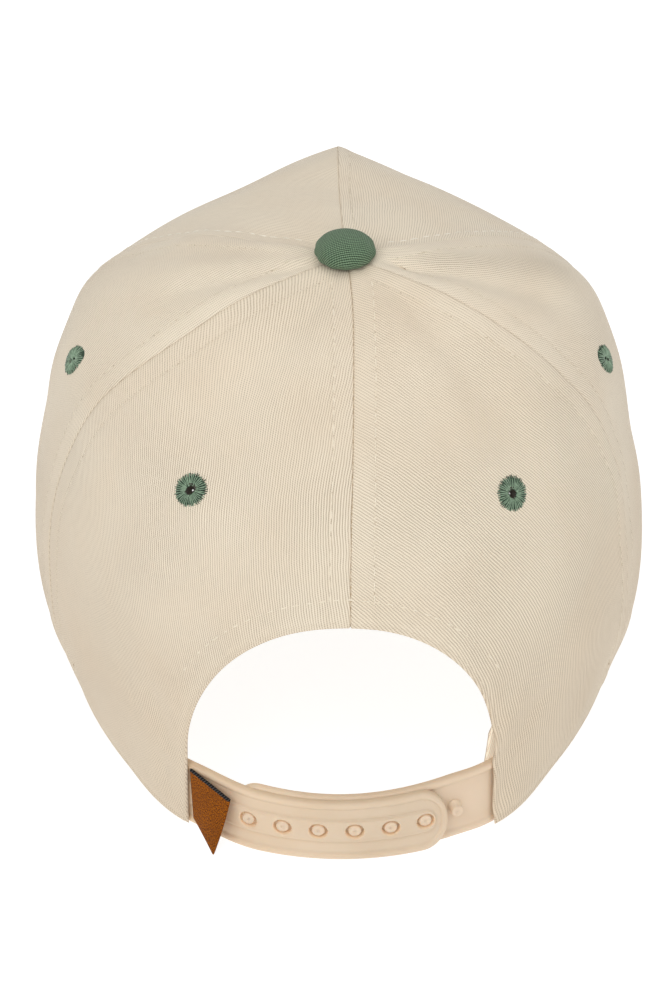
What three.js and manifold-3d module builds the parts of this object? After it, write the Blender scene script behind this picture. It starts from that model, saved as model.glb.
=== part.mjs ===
import * as THREE from 'three';
import { mergeVertices } from 'three/addons/utils/BufferGeometryUtils.js';
import Module from 'manifold-3d';

// Six-panel snapback cap with a peaked front, resting on its brim and its rear rim.
// Millimetres. The brim points to -Y, the wearer's left is +X and the floor is z = 0.
// An azimuth is in degrees round the crown: 0 at the front ridge, 90 at the wearer's left,
// 180 at the back, negative on the wearer's right. A level runs from 0 at the rim to 1 at the button.

// Cloth and clearances
const CLOTH = 1.2;
const GAP = 0.3;

// Crown: how far each meridian reaches from the button's axis, and how high it is, at the five
// levels 0, 0.2, 0.4, 0.6 and 0.8. Every meridian ends in the button point.
const BUTTON_POINT_HEIGHT = 128.5;
const CROWN = [
  { azimuth: 0, reach: [101, 102, 94.5, 71, 36.5], height: [35, 69, 98, 118, 125.5] },
  { azimuth: 26, reach: [95, 95.5, 89.5, 71, 40.5], height: [30, 60, 86, 107.5, 122] },
  { azimuth: 52, reach: [90, 92, 87, 74.5, 42], height: [23, 51, 77.5, 101, 120] },
  { azimuth: 82, reach: [83.5, 85, 80, 71, 42.5], height: [13, 42.5, 73.5, 103, 123.5] },
  { azimuth: 112, reach: [78, 81, 77.5, 65, 38.5], height: [6, 34.5, 67.5, 99, 124.5] },
  { azimuth: 135, reach: [82.5, 83, 78, 62.5, 35], height: [2.2, 30.5, 62.5, 94.5, 122.5] },
  { azimuth: 155, reach: [92.5, 87, 79.5, 62, 33.5], height: [0.5, 29, 60, 92, 120.5] },
  { azimuth: 180, reach: [96.5, 92, 83.5, 65, 34], height: [0.3, 29, 60, 92.5, 120] },
];
const LEVELS = [0, 0.2, 0.4, 0.6, 0.8, 1];
// The worn cloth leans a little to one side: shift towards +X at each level.
const LEAN = [-0.9, 0, 0.4, 0, -0.4, -1.9];

// Seams: azimuth of each seam at the six levels.
const SEAMS = {
  ridge: [0, 0, 0, 0, 0, 0],
  frontSideLeft: [56, 53.5, 53.2, 55.2, 62, 67],
  sideBackLeft: [108.5, 105.5, 106, 110.8, 123.6, 132],
  centreBackLeft: [182.6, 182.8, 182.6, 183.3, 186.4, 192],
  centreBackRight: [-177.4, -177.2, -177.4, -176.7, -173.6, -168],
  sideBackRight: [-109, -105, -103.5, -108, -119, -131],
  frontSideRight: [-56, -53, -51, -51.1, -62.8, -76],
};

// Soft folds: a valley runs from one point of the crown to another and fades over its width.
// A negative depth is a soft ridge that stands out.
const FOLDS = [
  { name: 'back left', from: [162, 0.88], to: [136, 0.65], width: 9, depth: 1.2 },
  { name: 'back right', from: [-138, 0.83], to: [-131, 0.62], width: 8, depth: 1.6 },
  { name: 'side left', from: [118, 0.92], to: [104, 0.78], width: 7, depth: 1.2 },
  { name: 'side right', from: [-108, 0.91], to: [-92, 0.72], width: 7, depth: 1.8 },
  { name: 'side right ridge', from: [-88, 0.88], to: [-69, 0.65], width: 6, depth: -0.8 },
];
const MM_PER_DEGREE = 1.1;
const MM_PER_LEVEL = 165;

// Panels
const PANEL_TOP_LEVEL = 0.975;
const PANEL_COLUMNS = 9;
const PANEL_ROWS = 14;
const BACK_PANEL_COLUMNS = 11;

// Arched opening at the back: half an ellipse on two straight sides
const ARCH = { centre: -0.8, halfWidth: 41, springHeight: 20, rise: 44.8, segments: 28 };

// Sewn eyelets
const EYELETS = [
  { name: 'eyelet_side_left', azimuth: 94, level: 0.57 },
  { name: 'eyelet_side_right', azimuth: -91.5, level: 0.555 },
  { name: 'eyelet_back_left', azimuth: 143.8, level: 0.57 },
  { name: 'eyelet_back_right', azimuth: -137.5, level: 0.545 },
];
const EYELET_RADIUS = 4.5;
const EYELET_HOLE_RADIUS = 1.7;
const EYELET_PROUD = 0.3;

// Button
const BUTTON_RADIUS = 8.1;
const BUTTON_HEIGHT = 5.6;
const BUTTON_LIFT = 0.6;
const BUTTON_BACK = 1.5;
const SHANK_RADIUS = 1.5;
const SHANK_LENGTH = 4;

// Brim: a sheet bent round an axis that slopes down to the front
const BRIM = {
  halfAngle: 62,
  thickness: 3,
  halfWidth: 82,
  backLine: 41.5,
  tip: 171,
  bendRadius: 103.2,
  slope: 0.244,
  rise: 1,
  fullness: 0.8,
  cornerTuck: 2.6,
  cornerRise: 40,
  columns: 24,
  rows: 6,
};

// Sweatband, sewn inside the rim and tucked behind the strap ends at the back
const SWEATBAND = {
  leftEnd: 149,
  rightEndLow: -154.6,
  rightEndHigh: -149.3,
  bottomLevel: 0.02,
  topLevel: 0.2,
  thickness: 1.2,
  tuckFrom: 128,
  tuckTo: 143,
  tuckDepth: 4.2,
  columns: 48,
};

// Snap strap
const STRAP = {
  height: 17,
  thickness: 1.6,
  coveredDepth: 2.1,
  openDepth: 0.2,
  passingGap: 0.4,
  uncoverFrom: 154,
  uncoverTo: 167,
  easeOut: 0.6,
  easeOutFrom: -161,
  easeOutTo: -155,
  holesFrom: 146,
  holesTo: -162.1,
  pegsFrom: -146,
  pegsTo: 161.7,
  endRound: 8,
  columns: 20,
};
// Outer face of both straps from floor to top: raised beads, channels and a raised middle band
const STRAP_FACE = [
  { height: 0, relief: 0.1 },
  { height: 0.5, relief: 0.5 },
  { height: 1.5, relief: 0.5 },
  { height: 2.1, relief: 0 },
  { height: 5.1, relief: 0 },
  { height: 5.5, relief: 0.25 },
  { height: 11.5, relief: 0.25 },
  { height: 11.9, relief: 0 },
  { height: 14.9, relief: 0 },
  { height: 15.5, relief: 0.5 },
  { height: 16.5, relief: 0.5 },
  { height: 17, relief: 0.1 },
];
const SNAP_PITCH = 5.8;
const FIRST_HOLE = 159.1;
const FIRST_PEG = 165.2;
const SNAP_COUNT = 7;
const HOLE_RADIUS = 2.15;
const PEG_RADIUS = 1.6;
const PEG_LENGTH = 2.2;

// Leather tab: corners of its outer face, from the sewn edge to the hanging tip
const TAB = {
  thickness: 1,
  sewnTop: [39.5, 79.5, 16.8],
  freeTop: [28.8, 90, 14.6],
  sewnBottom: [38.6, 83.2, 3.2],
  tip: [33, 95.3, 0.6],
};

const COLOURS = {
  twill: { color: 0xe6dac2, roughness: 0.95, metalness: 0 },
  greenCloth: { color: 0x5e8a68, roughness: 0.9, metalness: 0 },
  plastic: { color: 0xe6cdb0, roughness: 0.35, metalness: 0 },
  leather: { color: 0x9a5a26, roughness: 0.6, metalness: 0 },
};

const radians = THREE.MathUtils.degToRad;
const mix = THREE.MathUtils.lerp;
const smooth = THREE.MathUtils.smoothstep;

// Slopes of a smooth curve through the values; a given end slope replaces the natural one
function slopesOf(knots, values, endSlope) {
  const last = knots.length - 1;
  const secant = (i, j) => (values[j] - values[i]) / (knots[j] - knots[i]);
  const slopes = knots.map((_, i) => (i > 0 && i < last ? secant(i - 1, i + 1) : 0));
  slopes[0] = 1.5 * secant(0, 1) - 0.5 * slopes[1];
  slopes[last] = endSlope ?? 1.5 * secant(last - 1, last) - 0.5 * slopes[last - 1];
  return slopes;
}

// Value at x of the smooth curve through the knots
function curveAt(knots, values, x, endSlope) {
  const slopes = slopesOf(knots, values, endSlope);
  let i = knots.length - 2;
  while (i > 0 && x < knots[i]) i -= 1;
  const width = knots[i + 1] - knots[i];
  const s = (x - knots[i]) / width;
  const start = (2 * s ** 3 - 3 * s ** 2 + 1) * values[i] + (s ** 3 - 2 * s ** 2 + s) * width * slopes[i];
  const end = (3 * s ** 2 - 2 * s ** 3) * values[i + 1] + (s ** 3 - s ** 2) * width * slopes[i + 1];
  return start + end;
}

const AZIMUTHS = CROWN.map((row) => row.azimuth);

// Azimuth turned into -180 to 180 degrees
function wrapped(azimuth) {
  return azimuth - 360 * Math.round(azimuth / 360);
}

// Crown surface without its folds
function smoothCrown(azimuth, level) {
  const folded = Math.abs(wrapped(azimuth));
  const along = (column, last) => {
    const atLevel = (k) => curveAt(AZIMUTHS, CROWN.map((row) => row[column][k]), folded, 0);
    return curveAt(LEVELS, [...[0, 1, 2, 3, 4].map(atLevel), last], level);
  };
  const reach = along('reach', 0);
  const height = along('height', BUTTON_POINT_HEIGHT);
  const turn = radians(azimuth);
  const x = reach * Math.sin(turn) + curveAt(LEVELS, LEAN, level);
  return new THREE.Vector3(x, -reach * Math.cos(turn), height);
}

// Outward direction of the crown
function crownNormal(azimuth, level) {
  const step = 0.5;
  const rise = 0.01;
  const low = Math.max(level - rise, 0);
  const high = Math.min(level + rise, 0.99);
  const round = smoothCrown(azimuth + step, level).sub(smoothCrown(azimuth - step, level));
  const up = smoothCrown(azimuth, high).sub(smoothCrown(azimuth, low));
  return round.cross(up).normalize();
}

// How far the folds push the cloth in at a point of the crown
function foldDepth(azimuth, level) {
  const spot = new THREE.Vector2(wrapped(azimuth) * MM_PER_DEGREE, level * MM_PER_LEVEL);
  return FOLDS.reduce((total, fold) => {
    const from = new THREE.Vector2(fold.from[0] * MM_PER_DEGREE, fold.from[1] * MM_PER_LEVEL);
    const line = new THREE.Vector2(fold.to[0] * MM_PER_DEGREE, fold.to[1] * MM_PER_LEVEL).sub(from);
    const share = THREE.MathUtils.clamp(spot.clone().sub(from).dot(line) / line.lengthSq(), 0, 1);
    const distance = spot.distanceTo(from.addScaledVector(line, share));
    return total + fold.depth * Math.exp(-((distance / fold.width) ** 2));
  }, 0);
}

// Point of the crown's cloth at a depth below its outer face; beside a seam the depth is
// measured in the direction of the seam itself
function crownPoint(azimuth, level, depth, facing = azimuth) {
  const inwards = depth + foldDepth(azimuth, level);
  return smoothCrown(azimuth, level).addScaledVector(crownNormal(facing, level), -inwards);
}

// Closed wall between an outer and an inner face, each given on a grid of parameter values
function wall(us, vs, outer, inner) {
  const positions = [];
  for (const face of [outer, inner]) {
    us.forEach((u) => vs.forEach((v) => positions.push(...face(u, v).toArray())));
  }
  const index = [];
  const at = (i, j) => i * vs.length + j;
  const behind = (i, j) => us.length * vs.length + at(i, j);
  const quad = (a, b, c, d) => index.push(a, b, c, a, c, d);
  const lastColumn = us.length - 1;
  const lastRow = vs.length - 1;
  for (let i = 0; i < lastColumn; i += 1) {
    for (let j = 0; j < lastRow; j += 1) {
      quad(at(i, j), at(i + 1, j), at(i + 1, j + 1), at(i, j + 1));
      quad(behind(i, j), behind(i, j + 1), behind(i + 1, j + 1), behind(i + 1, j));
    }
    quad(behind(i, 0), behind(i + 1, 0), at(i + 1, 0), at(i, 0));
    quad(at(i, lastRow), at(i + 1, lastRow), behind(i + 1, lastRow), behind(i, lastRow));
  }
  for (let j = 0; j < lastRow; j += 1) {
    quad(at(0, j), at(0, j + 1), behind(0, j + 1), behind(0, j));
    quad(behind(lastColumn, j), behind(lastColumn, j + 1), at(lastColumn, j + 1), at(lastColumn, j));
  }
  const geometry = new THREE.BufferGeometry();
  geometry.setAttribute('position', new THREE.Float32BufferAttribute(positions, 3));
  geometry.setIndex(index);
  return geometry;
}

// Evenly spaced values from start to end
function spread(start, end, steps) {
  return Array.from({ length: steps + 1 }, (_, i) => mix(start, end, i / steps));
}

const wasm = await Module();
wasm.setup();

function toSolid(geometry) {
  const bare = geometry.clone();
  bare.deleteAttribute('normal');
  bare.deleteAttribute('uv');
  const merged = mergeVertices(bare);
  const vertProperties = new Float32Array(merged.attributes.position.array);
  const triVerts = new Uint32Array(merged.index.array);
  return new wasm.Manifold(new wasm.Mesh({ numProp: 3, vertProperties, triVerts }));
}

function toGeometry(solid) {
  const mesh = solid.getMesh();
  const geometry = new THREE.BufferGeometry();
  geometry.setAttribute('position', new THREE.BufferAttribute(new Float32Array(mesh.vertProperties), 3));
  geometry.setIndex(new THREE.BufferAttribute(new Uint32Array(mesh.triVerts), 1));
  return geometry;
}

// Shape turned so that its Y axis runs along a direction, and moved to a place
function placed(geometry, place, direction) {
  const turn = new THREE.Quaternion().setFromUnitVectors(new THREE.Vector3(0, 1, 0), direction);
  return geometry.applyQuaternion(turn).translate(place.x, place.y, place.z);
}

const hat = new THREE.Group();

function addPiece(name, geometry, finish) {
  geometry.computeVertexNormals();
  const piece = new THREE.Mesh(geometry, new THREE.MeshStandardMaterial(finish));
  piece.name = name;
  hat.add(piece);
}

// Cutter for the arched opening, running through the back of the crown
function archCutter() {
  const { centre, halfWidth, springHeight, rise, segments } = ARCH;
  const below = -10;
  const shape = new THREE.Shape();
  shape.moveTo(centre - halfWidth, below);
  shape.lineTo(centre + halfWidth, below);
  shape.absellipse(centre, springHeight, halfWidth, rise, 0, Math.PI, false);
  shape.closePath();
  const depth = 80;
  const geometry = new THREE.ExtrudeGeometry(shape, { depth, bevelEnabled: false, curveSegments: segments });
  geometry.rotateX(Math.PI / 2);
  return toSolid(geometry.translate(0, 120, 0));
}

// Round cutter for one sewn eyelet
function eyeletCutter({ azimuth, level }) {
  const hole = new THREE.CylinderGeometry(EYELET_RADIUS + GAP, EYELET_RADIUS + GAP, 12, 16);
  return toSolid(placed(hole, crownPoint(azimuth, level, CLOTH / 2), crownNormal(azimuth, level)));
}

// One crown panel between two seams, each pulled back by half the gap
function panel(fromSeam, toSeam, columns, cutters) {
  const face = (depth) => (u, level) => {
    const from = curveAt(LEVELS, SEAMS[fromSeam], level);
    const to = curveAt(LEVELS, SEAMS[toSeam], level);
    const inset = THREE.MathUtils.radToDeg(GAP / 2 / Math.abs(smoothCrown(0, level).y));
    return crownPoint(mix(from + inset, to - inset, u), level, depth, mix(from, to, u));
  };
  const levels = spread(0, PANEL_TOP_LEVEL, PANEL_ROWS);
  const cloth = toSolid(wall(spread(0, 1, columns), levels, face(0), face(CLOTH)));
  return toGeometry(cutters.reduce((solid, cutter) => solid.subtract(cutter), cloth));
}

function addPanels() {
  const arch = archCutter();
  const [sideLeft, sideRight, backLeft, backRight] = EYELETS.map(eyeletCutter);
  const rows = [
    { name: 'front_panel_left', from: 'ridge', to: 'frontSideLeft', cutters: [] },
    { name: 'front_panel_right', from: 'frontSideRight', to: 'ridge', cutters: [] },
    { name: 'side_panel_left', from: 'frontSideLeft', to: 'sideBackLeft', cutters: [sideLeft] },
    { name: 'side_panel_right', from: 'sideBackRight', to: 'frontSideRight', cutters: [sideRight] },
    { name: 'back_panel_left', from: 'sideBackLeft', to: 'centreBackLeft', cutters: [arch, backLeft] },
    { name: 'back_panel_right', from: 'centreBackRight', to: 'sideBackRight', cutters: [arch, backRight] },
  ];
  for (const { name, from, to, cutters } of rows) {
    const columns = name.startsWith('back') ? BACK_PANEL_COLUMNS : PANEL_COLUMNS;
    addPiece(name, panel(from, to, columns, cutters), COLOURS.twill);
  }
}

// Domed button on a short shank that passes through the crown
function addButton() {
  const profile = [
    [0, -SHANK_LENGTH],
    [SHANK_RADIUS, -SHANK_LENGTH],
    [SHANK_RADIUS, 0],
    [BUTTON_RADIUS - 0.8, 0],
    [BUTTON_RADIUS, 1.1],
    [BUTTON_RADIUS - 0.4, 2.6],
    [BUTTON_RADIUS - 2, 4.2],
    [BUTTON_RADIUS - 4.6, BUTTON_HEIGHT - 0.3],
    [0, BUTTON_HEIGHT],
  ].map(([x, y]) => new THREE.Vector2(x, y));
  const place = new THREE.Vector3(LEAN[5], BUTTON_BACK, BUTTON_POINT_HEIGHT + BUTTON_LIFT);
  const dome = placed(new THREE.LatheGeometry(profile, 28), place, new THREE.Vector3(0, 0, 1));
  addPiece('button', toGeometry(toSolid(dome)), COLOURS.greenCloth);
}

// Rings of thread that stand a little proud of the cloth on both sides
function addEyelets() {
  const low = -CLOTH - EYELET_PROUD;
  const profile = [
    [EYELET_HOLE_RADIUS, low],
    [EYELET_RADIUS, low],
    [EYELET_RADIUS, 0],
    [EYELET_RADIUS - 0.5, EYELET_PROUD],
    [EYELET_HOLE_RADIUS + 0.5, EYELET_PROUD],
    [EYELET_HOLE_RADIUS, 0],
    [EYELET_HOLE_RADIUS, low],
  ].map(([x, y]) => new THREE.Vector2(x, y));
  for (const { name, azimuth, level } of EYELETS) {
    const ring = new THREE.LatheGeometry(profile, 16);
    const seated = placed(ring, crownPoint(azimuth, level, 0), crownNormal(azimuth, level));
    addPiece(name, toGeometry(toSolid(seated)), COLOURS.greenCloth);
  }
}

// Height of the bent and sloping sheet that the brim is cut from
function brimSheetHeight(x, y) {
  const front = CROWN[0];
  const drop = BRIM.bendRadius - Math.sqrt(BRIM.bendRadius ** 2 - x ** 2);
  return front.height[0] + BRIM.rise + (y + front.reach[0]) * BRIM.slope - drop;
}

// Upper face of the brim: u runs across from -1 to 1, v from the crown to the free edge
function brimPoint(u, v) {
  const azimuth = u * BRIM.halfAngle;
  const rim = smoothCrown(azimuth, 0);
  const seam = rim.addScaledVector(crownNormal(azimuth, 0).setZ(0).normalize(), GAP);
  const turn = (u * Math.PI) / 2;
  const across = Math.abs(Math.sin(turn));
  const edgeX = Math.sign(u) * (BRIM.halfWidth * across ** BRIM.fullness - BRIM.cornerTuck * across ** 20);
  const edgeY = -BRIM.backLine - (BRIM.tip - BRIM.backLine) * Math.abs(Math.cos(turn)) ** BRIM.fullness;
  const x = mix(seam.x, edgeX, v);
  const y = mix(seam.y, edgeY, v);
  const lift = seam.z + BRIM.rise - brimSheetHeight(seam.x, seam.y);
  // the sheet keeps the rim's height along its seam and comes back up to it at both corners
  const lifted = mix((1 - v) ** 2, 1, across ** BRIM.cornerRise);
  return new THREE.Vector3(x, y, brimSheetHeight(x, y) + lift * lifted);
}

// The lower face is the upper one moved square to the sheet, but straight down at the crown
function brimLowerPoint(u, v) {
  const top = brimPoint(u, v);
  const lean = top.x / Math.sqrt(BRIM.bendRadius ** 2 - top.x ** 2);
  const down = new THREE.Vector3(-lean * v, BRIM.slope * v, -1).normalize();
  return top.addScaledVector(down, BRIM.thickness);
}

function addBrim() {
  const across = spread(-1, 1, BRIM.columns);
  const out = spread(0, 1, BRIM.rows);
  const sheet = wall(out, across, (v, u) => brimPoint(u, v), (v, u) => brimLowerPoint(u, v));
  addPiece('brim', sheet, COLOURS.greenCloth);
}

function addSweatband() {
  const { leftEnd, rightEndLow, rightEndHigh, bottomLevel, topLevel, tuckFrom, tuckTo, tuckDepth, thickness } = SWEATBAND;
  const rightEnd = (level) => mix(rightEndLow, rightEndHigh, (level - bottomLevel) / (topLevel - bottomLevel));
  const depthAt = (azimuth) => mix(CLOTH + GAP, tuckDepth, smooth(Math.abs(azimuth), tuckFrom, tuckTo));
  const face = (extra) => (share, level) => {
    const azimuth = mix(rightEnd(level), leftEnd, share);
    return crownPoint(azimuth, level, depthAt(azimuth) + extra);
  };
  const levels = spread(bottomLevel, topLevel, 2);
  addPiece('sweatband', wall(spread(0, 1, SWEATBAND.columns), levels, face(0), face(thickness)), COLOURS.twill);
}

// Point of the crown's rear rim at a real height, moved inwards along the radius
function strapPoint(azimuth, height, depth) {
  let low = 0;
  let high = 0.2;
  for (let i = 0; i < 30; i += 1) {
    const middle = (low + high) / 2;
    if (smoothCrown(azimuth, middle).z < height) low = middle;
    else high = middle;
  }
  const turn = radians(azimuth);
  const point = smoothCrown(azimuth, low);
  return new THREE.Vector3(point.x - depth * Math.sin(turn), point.y + depth * Math.cos(turn), height);
}

// Depth of the outer strap's face: behind the cloth at its sewn end, level with it in the opening
function outerStrapDepth(azimuth) {
  const past = wrapped(azimuth) < 0 ? STRAP.uncoverTo : wrapped(azimuth);
  return mix(STRAP.coveredDepth, STRAP.openDepth, smooth(past, STRAP.uncoverFrom, STRAP.uncoverTo));
}

// The inner strap passes behind the outer one and comes out a little beyond its free end
function innerStrapDepth(azimuth) {
  const beyond = wrapped(azimuth) < 0 ? smooth(wrapped(azimuth), STRAP.easeOutFrom, STRAP.easeOutTo) : 0;
  const behind = outerStrapDepth(azimuth) + STRAP.thickness + STRAP.passingGap + STRAP_FACE[1].relief;
  return behind - STRAP.easeOut * beyond;
}

// Curved strap with a rounded free end: degrees run from the sewn end to the free end
function strapBody(sewnEnd, freeEnd, depthAt) {
  const millimetre = THREE.MathUtils.radToDeg(1 / CROWN[7].reach[0]);
  const direction = Math.sign(freeEnd - sewnEnd);
  const roundFrom = freeEnd - direction * STRAP.endRound * millimetre;
  const arc = spread(0, Math.PI / 2, 6).slice(1, 6).map(Math.sin);
  const round = arc.map((share) => mix(roundFrom, freeEnd, share));
  const stations = [...spread(sewnEnd, roundFrom, STRAP.columns), ...round, freeEnd];
  if (direction < 0) stations.reverse();
  const middle = STRAP.height / 2;
  const squeeze = (azimuth) => {
    const share = THREE.MathUtils.clamp((azimuth - roundFrom) / (freeEnd - roundFrom), 0, 0.985);
    return Math.sqrt(1 - share ** 2);
  };
  const face = (outer) => (azimuth, row) => {
    const height = middle + (row.height - middle) * squeeze(azimuth);
    const depth = outer ? depthAt(azimuth) - row.relief : depthAt(azimuth) + STRAP.thickness;
    return strapPoint(azimuth, height, depth);
  };
  return toSolid(wall(stations, STRAP_FACE, face(true), face(false)));
}

// Round bar through or on a strap at mid height, between two depths
function snapBar(azimuth, radius, outerDepth, innerDepth) {
  const middle = STRAP.height / 2;
  const start = strapPoint(azimuth, middle, innerDepth);
  const end = strapPoint(azimuth, middle, outerDepth);
  const bar = new THREE.CylinderGeometry(radius, radius, start.distanceTo(end), 12);
  const direction = end.clone().sub(start).normalize();
  return toSolid(placed(bar, start.add(end).multiplyScalar(0.5), direction));
}

function addStraps() {
  const fullTurn = 360;
  let outer = strapBody(STRAP.holesFrom, STRAP.holesTo + fullTurn, outerStrapDepth);
  let inner = strapBody(STRAP.pegsFrom + fullTurn, STRAP.pegsTo, innerStrapDepth);
  for (let i = 0; i < SNAP_COUNT; i += 1) {
    const hole = FIRST_HOLE + i * SNAP_PITCH;
    outer = outer.subtract(snapBar(hole, HOLE_RADIUS, -3, 6));
    const peg = FIRST_PEG + i * SNAP_PITCH;
    const base = innerStrapDepth(peg);
    inner = inner.add(snapBar(peg, PEG_RADIUS, base - PEG_LENGTH, base + STRAP.thickness / 2));
  }
  addPiece('strap_holes', toGeometry(outer), COLOURS.plastic);
  addPiece('strap_pegs', toGeometry(inner), COLOURS.plastic);
}

// Leather tab, bent outwards a little towards its tip
function addTab() {
  const corner = (name) => new THREE.Vector3(...TAB[name]);
  const inwards = new THREE.Vector3(-0.68, -0.72, 0).normalize();
  const face = (depth) => (u, v) => {
    const bottom = corner('tip').lerp(corner('sewnBottom'), u);
    const top = corner('freeTop').lerp(corner('sewnTop'), u);
    return bottom.lerp(top, v).addScaledVector(inwards, depth);
  };
  const across = spread(1, 0, 3);
  addPiece('label_tab', wall(across, spread(0, 1, 4), face(0), face(TAB.thickness)), COLOURS.leather);
}

addPanels();
addButton();
addEyelets();
addBrim();
addSweatband();
addStraps();
addTab();

// The whole cap stands centred on the origin
const box = new THREE.Box3().setFromObject(hat);
const middle = box.getCenter(new THREE.Vector3());
hat.position.set(-middle.x, -middle.y, -box.min.z);

const cap = new THREE.Group();
cap.add(hat);

export default cap;
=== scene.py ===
import math

import bpy
import numpy as np
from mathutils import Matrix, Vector
from mathutils.geometry import delaunay_2d_cdt


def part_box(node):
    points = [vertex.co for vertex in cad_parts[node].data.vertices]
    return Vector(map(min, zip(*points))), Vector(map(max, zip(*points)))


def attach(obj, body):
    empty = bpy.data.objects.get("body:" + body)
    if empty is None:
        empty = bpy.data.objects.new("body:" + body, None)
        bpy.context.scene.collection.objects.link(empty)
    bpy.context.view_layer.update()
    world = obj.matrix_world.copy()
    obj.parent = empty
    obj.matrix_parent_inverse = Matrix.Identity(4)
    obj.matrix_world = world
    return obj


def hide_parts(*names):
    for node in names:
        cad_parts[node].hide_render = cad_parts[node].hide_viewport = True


# Six-panel twill cap. Sizes are in millimetres in the crown's own frame and become metres when
# a mesh is made. An azimuth is in degrees round the crown: 0 at the front ridge, 90 at the
# wearer's left, 180 at the back. A level runs from 0 at the rim to 1 at the button.

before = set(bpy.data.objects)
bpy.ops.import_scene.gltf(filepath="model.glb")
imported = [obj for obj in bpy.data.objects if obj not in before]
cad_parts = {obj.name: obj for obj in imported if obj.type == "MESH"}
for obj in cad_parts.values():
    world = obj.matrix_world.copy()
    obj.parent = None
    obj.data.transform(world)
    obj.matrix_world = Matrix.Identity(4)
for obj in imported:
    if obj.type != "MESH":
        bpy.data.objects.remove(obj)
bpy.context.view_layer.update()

# Crown
CLOTH = 1.2
EDGE_ROUND = 0.55
BUTTON_POINT_HEIGHT = 128.5
LEVELS = np.linspace(0, 1, 6)
# azimuth, then the reach from the button's axis and the height at the levels 0 to 0.8
CROWN = np.array(
    [
        [0, 101, 102, 94.5, 71, 36.5, 35, 69, 98, 118, 125.5],
        [26, 95, 95.5, 89.5, 71, 40.5, 30, 60, 86, 107.5, 122],
        [52, 90, 92, 87, 74.5, 42, 23, 51, 77.5, 101, 120],
        [82, 83.5, 85, 80, 71, 42.5, 13, 42.5, 73.5, 103, 123.5],
        [112, 78, 81, 77.5, 65, 38.5, 6, 34.5, 67.5, 99, 124.5],
        [135, 82.5, 83, 78, 62.5, 35, 2.2, 30.5, 62.5, 94.5, 122.5],
        [155, 92.5, 87, 79.5, 62, 33.5, 0.5, 29, 60, 92, 120.5],
        [180, 96.5, 92, 83.5, 65, 34, 0.3, 29, 60, 92.5, 120],
    ]
)
# shift of each level towards the wearer's left
LEAN = np.array([-0.9, 0, 0.4, 0, -0.4, -1.9])
# azimuth of each seam at the six levels
SEAMS = {
    "ridge": [0, 0, 0, 0, 0, 0],
    "front_side_left": [56, 53.5, 53.2, 55.2, 62, 67],
    "side_back_left": [108.5, 105.5, 106, 110.8, 123.6, 132],
    "centre_back": [182.6, 182.8, 182.6, 183.3, 186.4, 192],
    "side_back_right": [251, 255, 256.5, 252, 241, 229],
    "front_side_right": [304, 307, 309, 308.9, 297.2, 284],
    "ridge_again": [360, 360, 360, 360, 360, 360],
}
# start azimuth and level, end azimuth and level, width, depth; a negative depth stands out
FOLDS = [
    [162, 0.88, 136, 0.65, 9, 1.2],
    [222, 0.83, 229, 0.62, 8, 1.6],
    [118, 0.92, 104, 0.78, 7, 1.2],
    [252, 0.91, 268, 0.72, 7, 1.8],
    [272, 0.88, 291, 0.65, 6, -0.8],
]
# small creases at the feet of the arch, and where the ribs stand out beside the button
FOOT_CREASES = [
    [209, 0.118, 219.5, 0.185, 2.8, 0.9],
    [206.5, 0.15, 215, 0.215, 2.4, -0.5],
    [207, 0.03, 211, 0.09, 2.4, 0.7],
    [149, 0.15, 144, 0.22, 2.8, 0.7],
    [150, 0.05, 147, 0.1, 2.4, 0.5],
]
RIBBED_SPOT = [265, 0.88, 284, 0.7, 6.5, 1]
MM_PER_DEGREE = 1.1
MM_PER_LEVEL = 165
PANEL_TOP_LEVEL = 0.975
# from this level up the cloth dips under the button, and the rows of stitches end
DIP_LEVEL = 0.93
# spacing of the points along a panel's edge, and how far that edge keeps from the seam's middle
EDGE_SPACING = 1.2
SEAM_GAP = 0.005
# node, seams on both sides, how far its twill ribs turn from the panel's middle line, how much
# more the stretched cloth turns them near the rim, and how far below the top that begins
PANELS = [
    ["front_panel_left", "ridge", "front_side_left", -25, 0, 0],
    ["side_panel_left", "front_side_left", "side_back_left", -24, 0, 0],
    ["back_panel_left", "side_back_left", "centre_back", -17, 0.154, 60],
    ["back_panel_right", "centre_back", "side_back_right", -28, -0.4, 118],
    ["side_panel_right", "side_back_right", "front_side_right", -7, 0, 0],
    ["front_panel_right", "front_side_right", "ridge_again", -25, 0, 0],
]
RIM_TURN_SOFTNESS = 15
# beside each panel's start and end seam: how deep the cloth rolls in, how far off the row of
# stitches runs, and how high the seam allowance stands up
SEAM_PRESS = {
    "front_panel_left": [[0.08, 0, 0], [0.26, 4.8, 0.12]],
    "side_panel_left": [[0.26, 7.3, 0.22], [0.15, 6.2, 0.16]],
    "back_panel_left": [[0.15, 6, 0.05], [0.21, 5.3, 0.03]],
    "back_panel_right": [[0.16, 6, 0.2], [0.15, 5, 0.2]],
    "side_panel_right": [[0.15, 6, 0.05], [0.26, 7.3, 0.22]],
    "front_panel_right": [[0.26, 4.8, 0.12], [0.14, 3.3, 0.25]],
}
ARCH_CENTRE = -0.8
ARCH_HALF_WIDTH = 41
ARCH_SPRING = 20
ARCH_RISE = 44.8
# node, panel, azimuth and level
EYELETS = [
    ["eyelet_side_left", "side_panel_left", 94, 0.57],
    ["eyelet_side_right", "side_panel_right", 268.5, 0.555],
    ["eyelet_back_left", "back_panel_left", 143.8, 0.57],
    ["eyelet_back_right", "back_panel_right", 222.5, 0.545],
]
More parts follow.
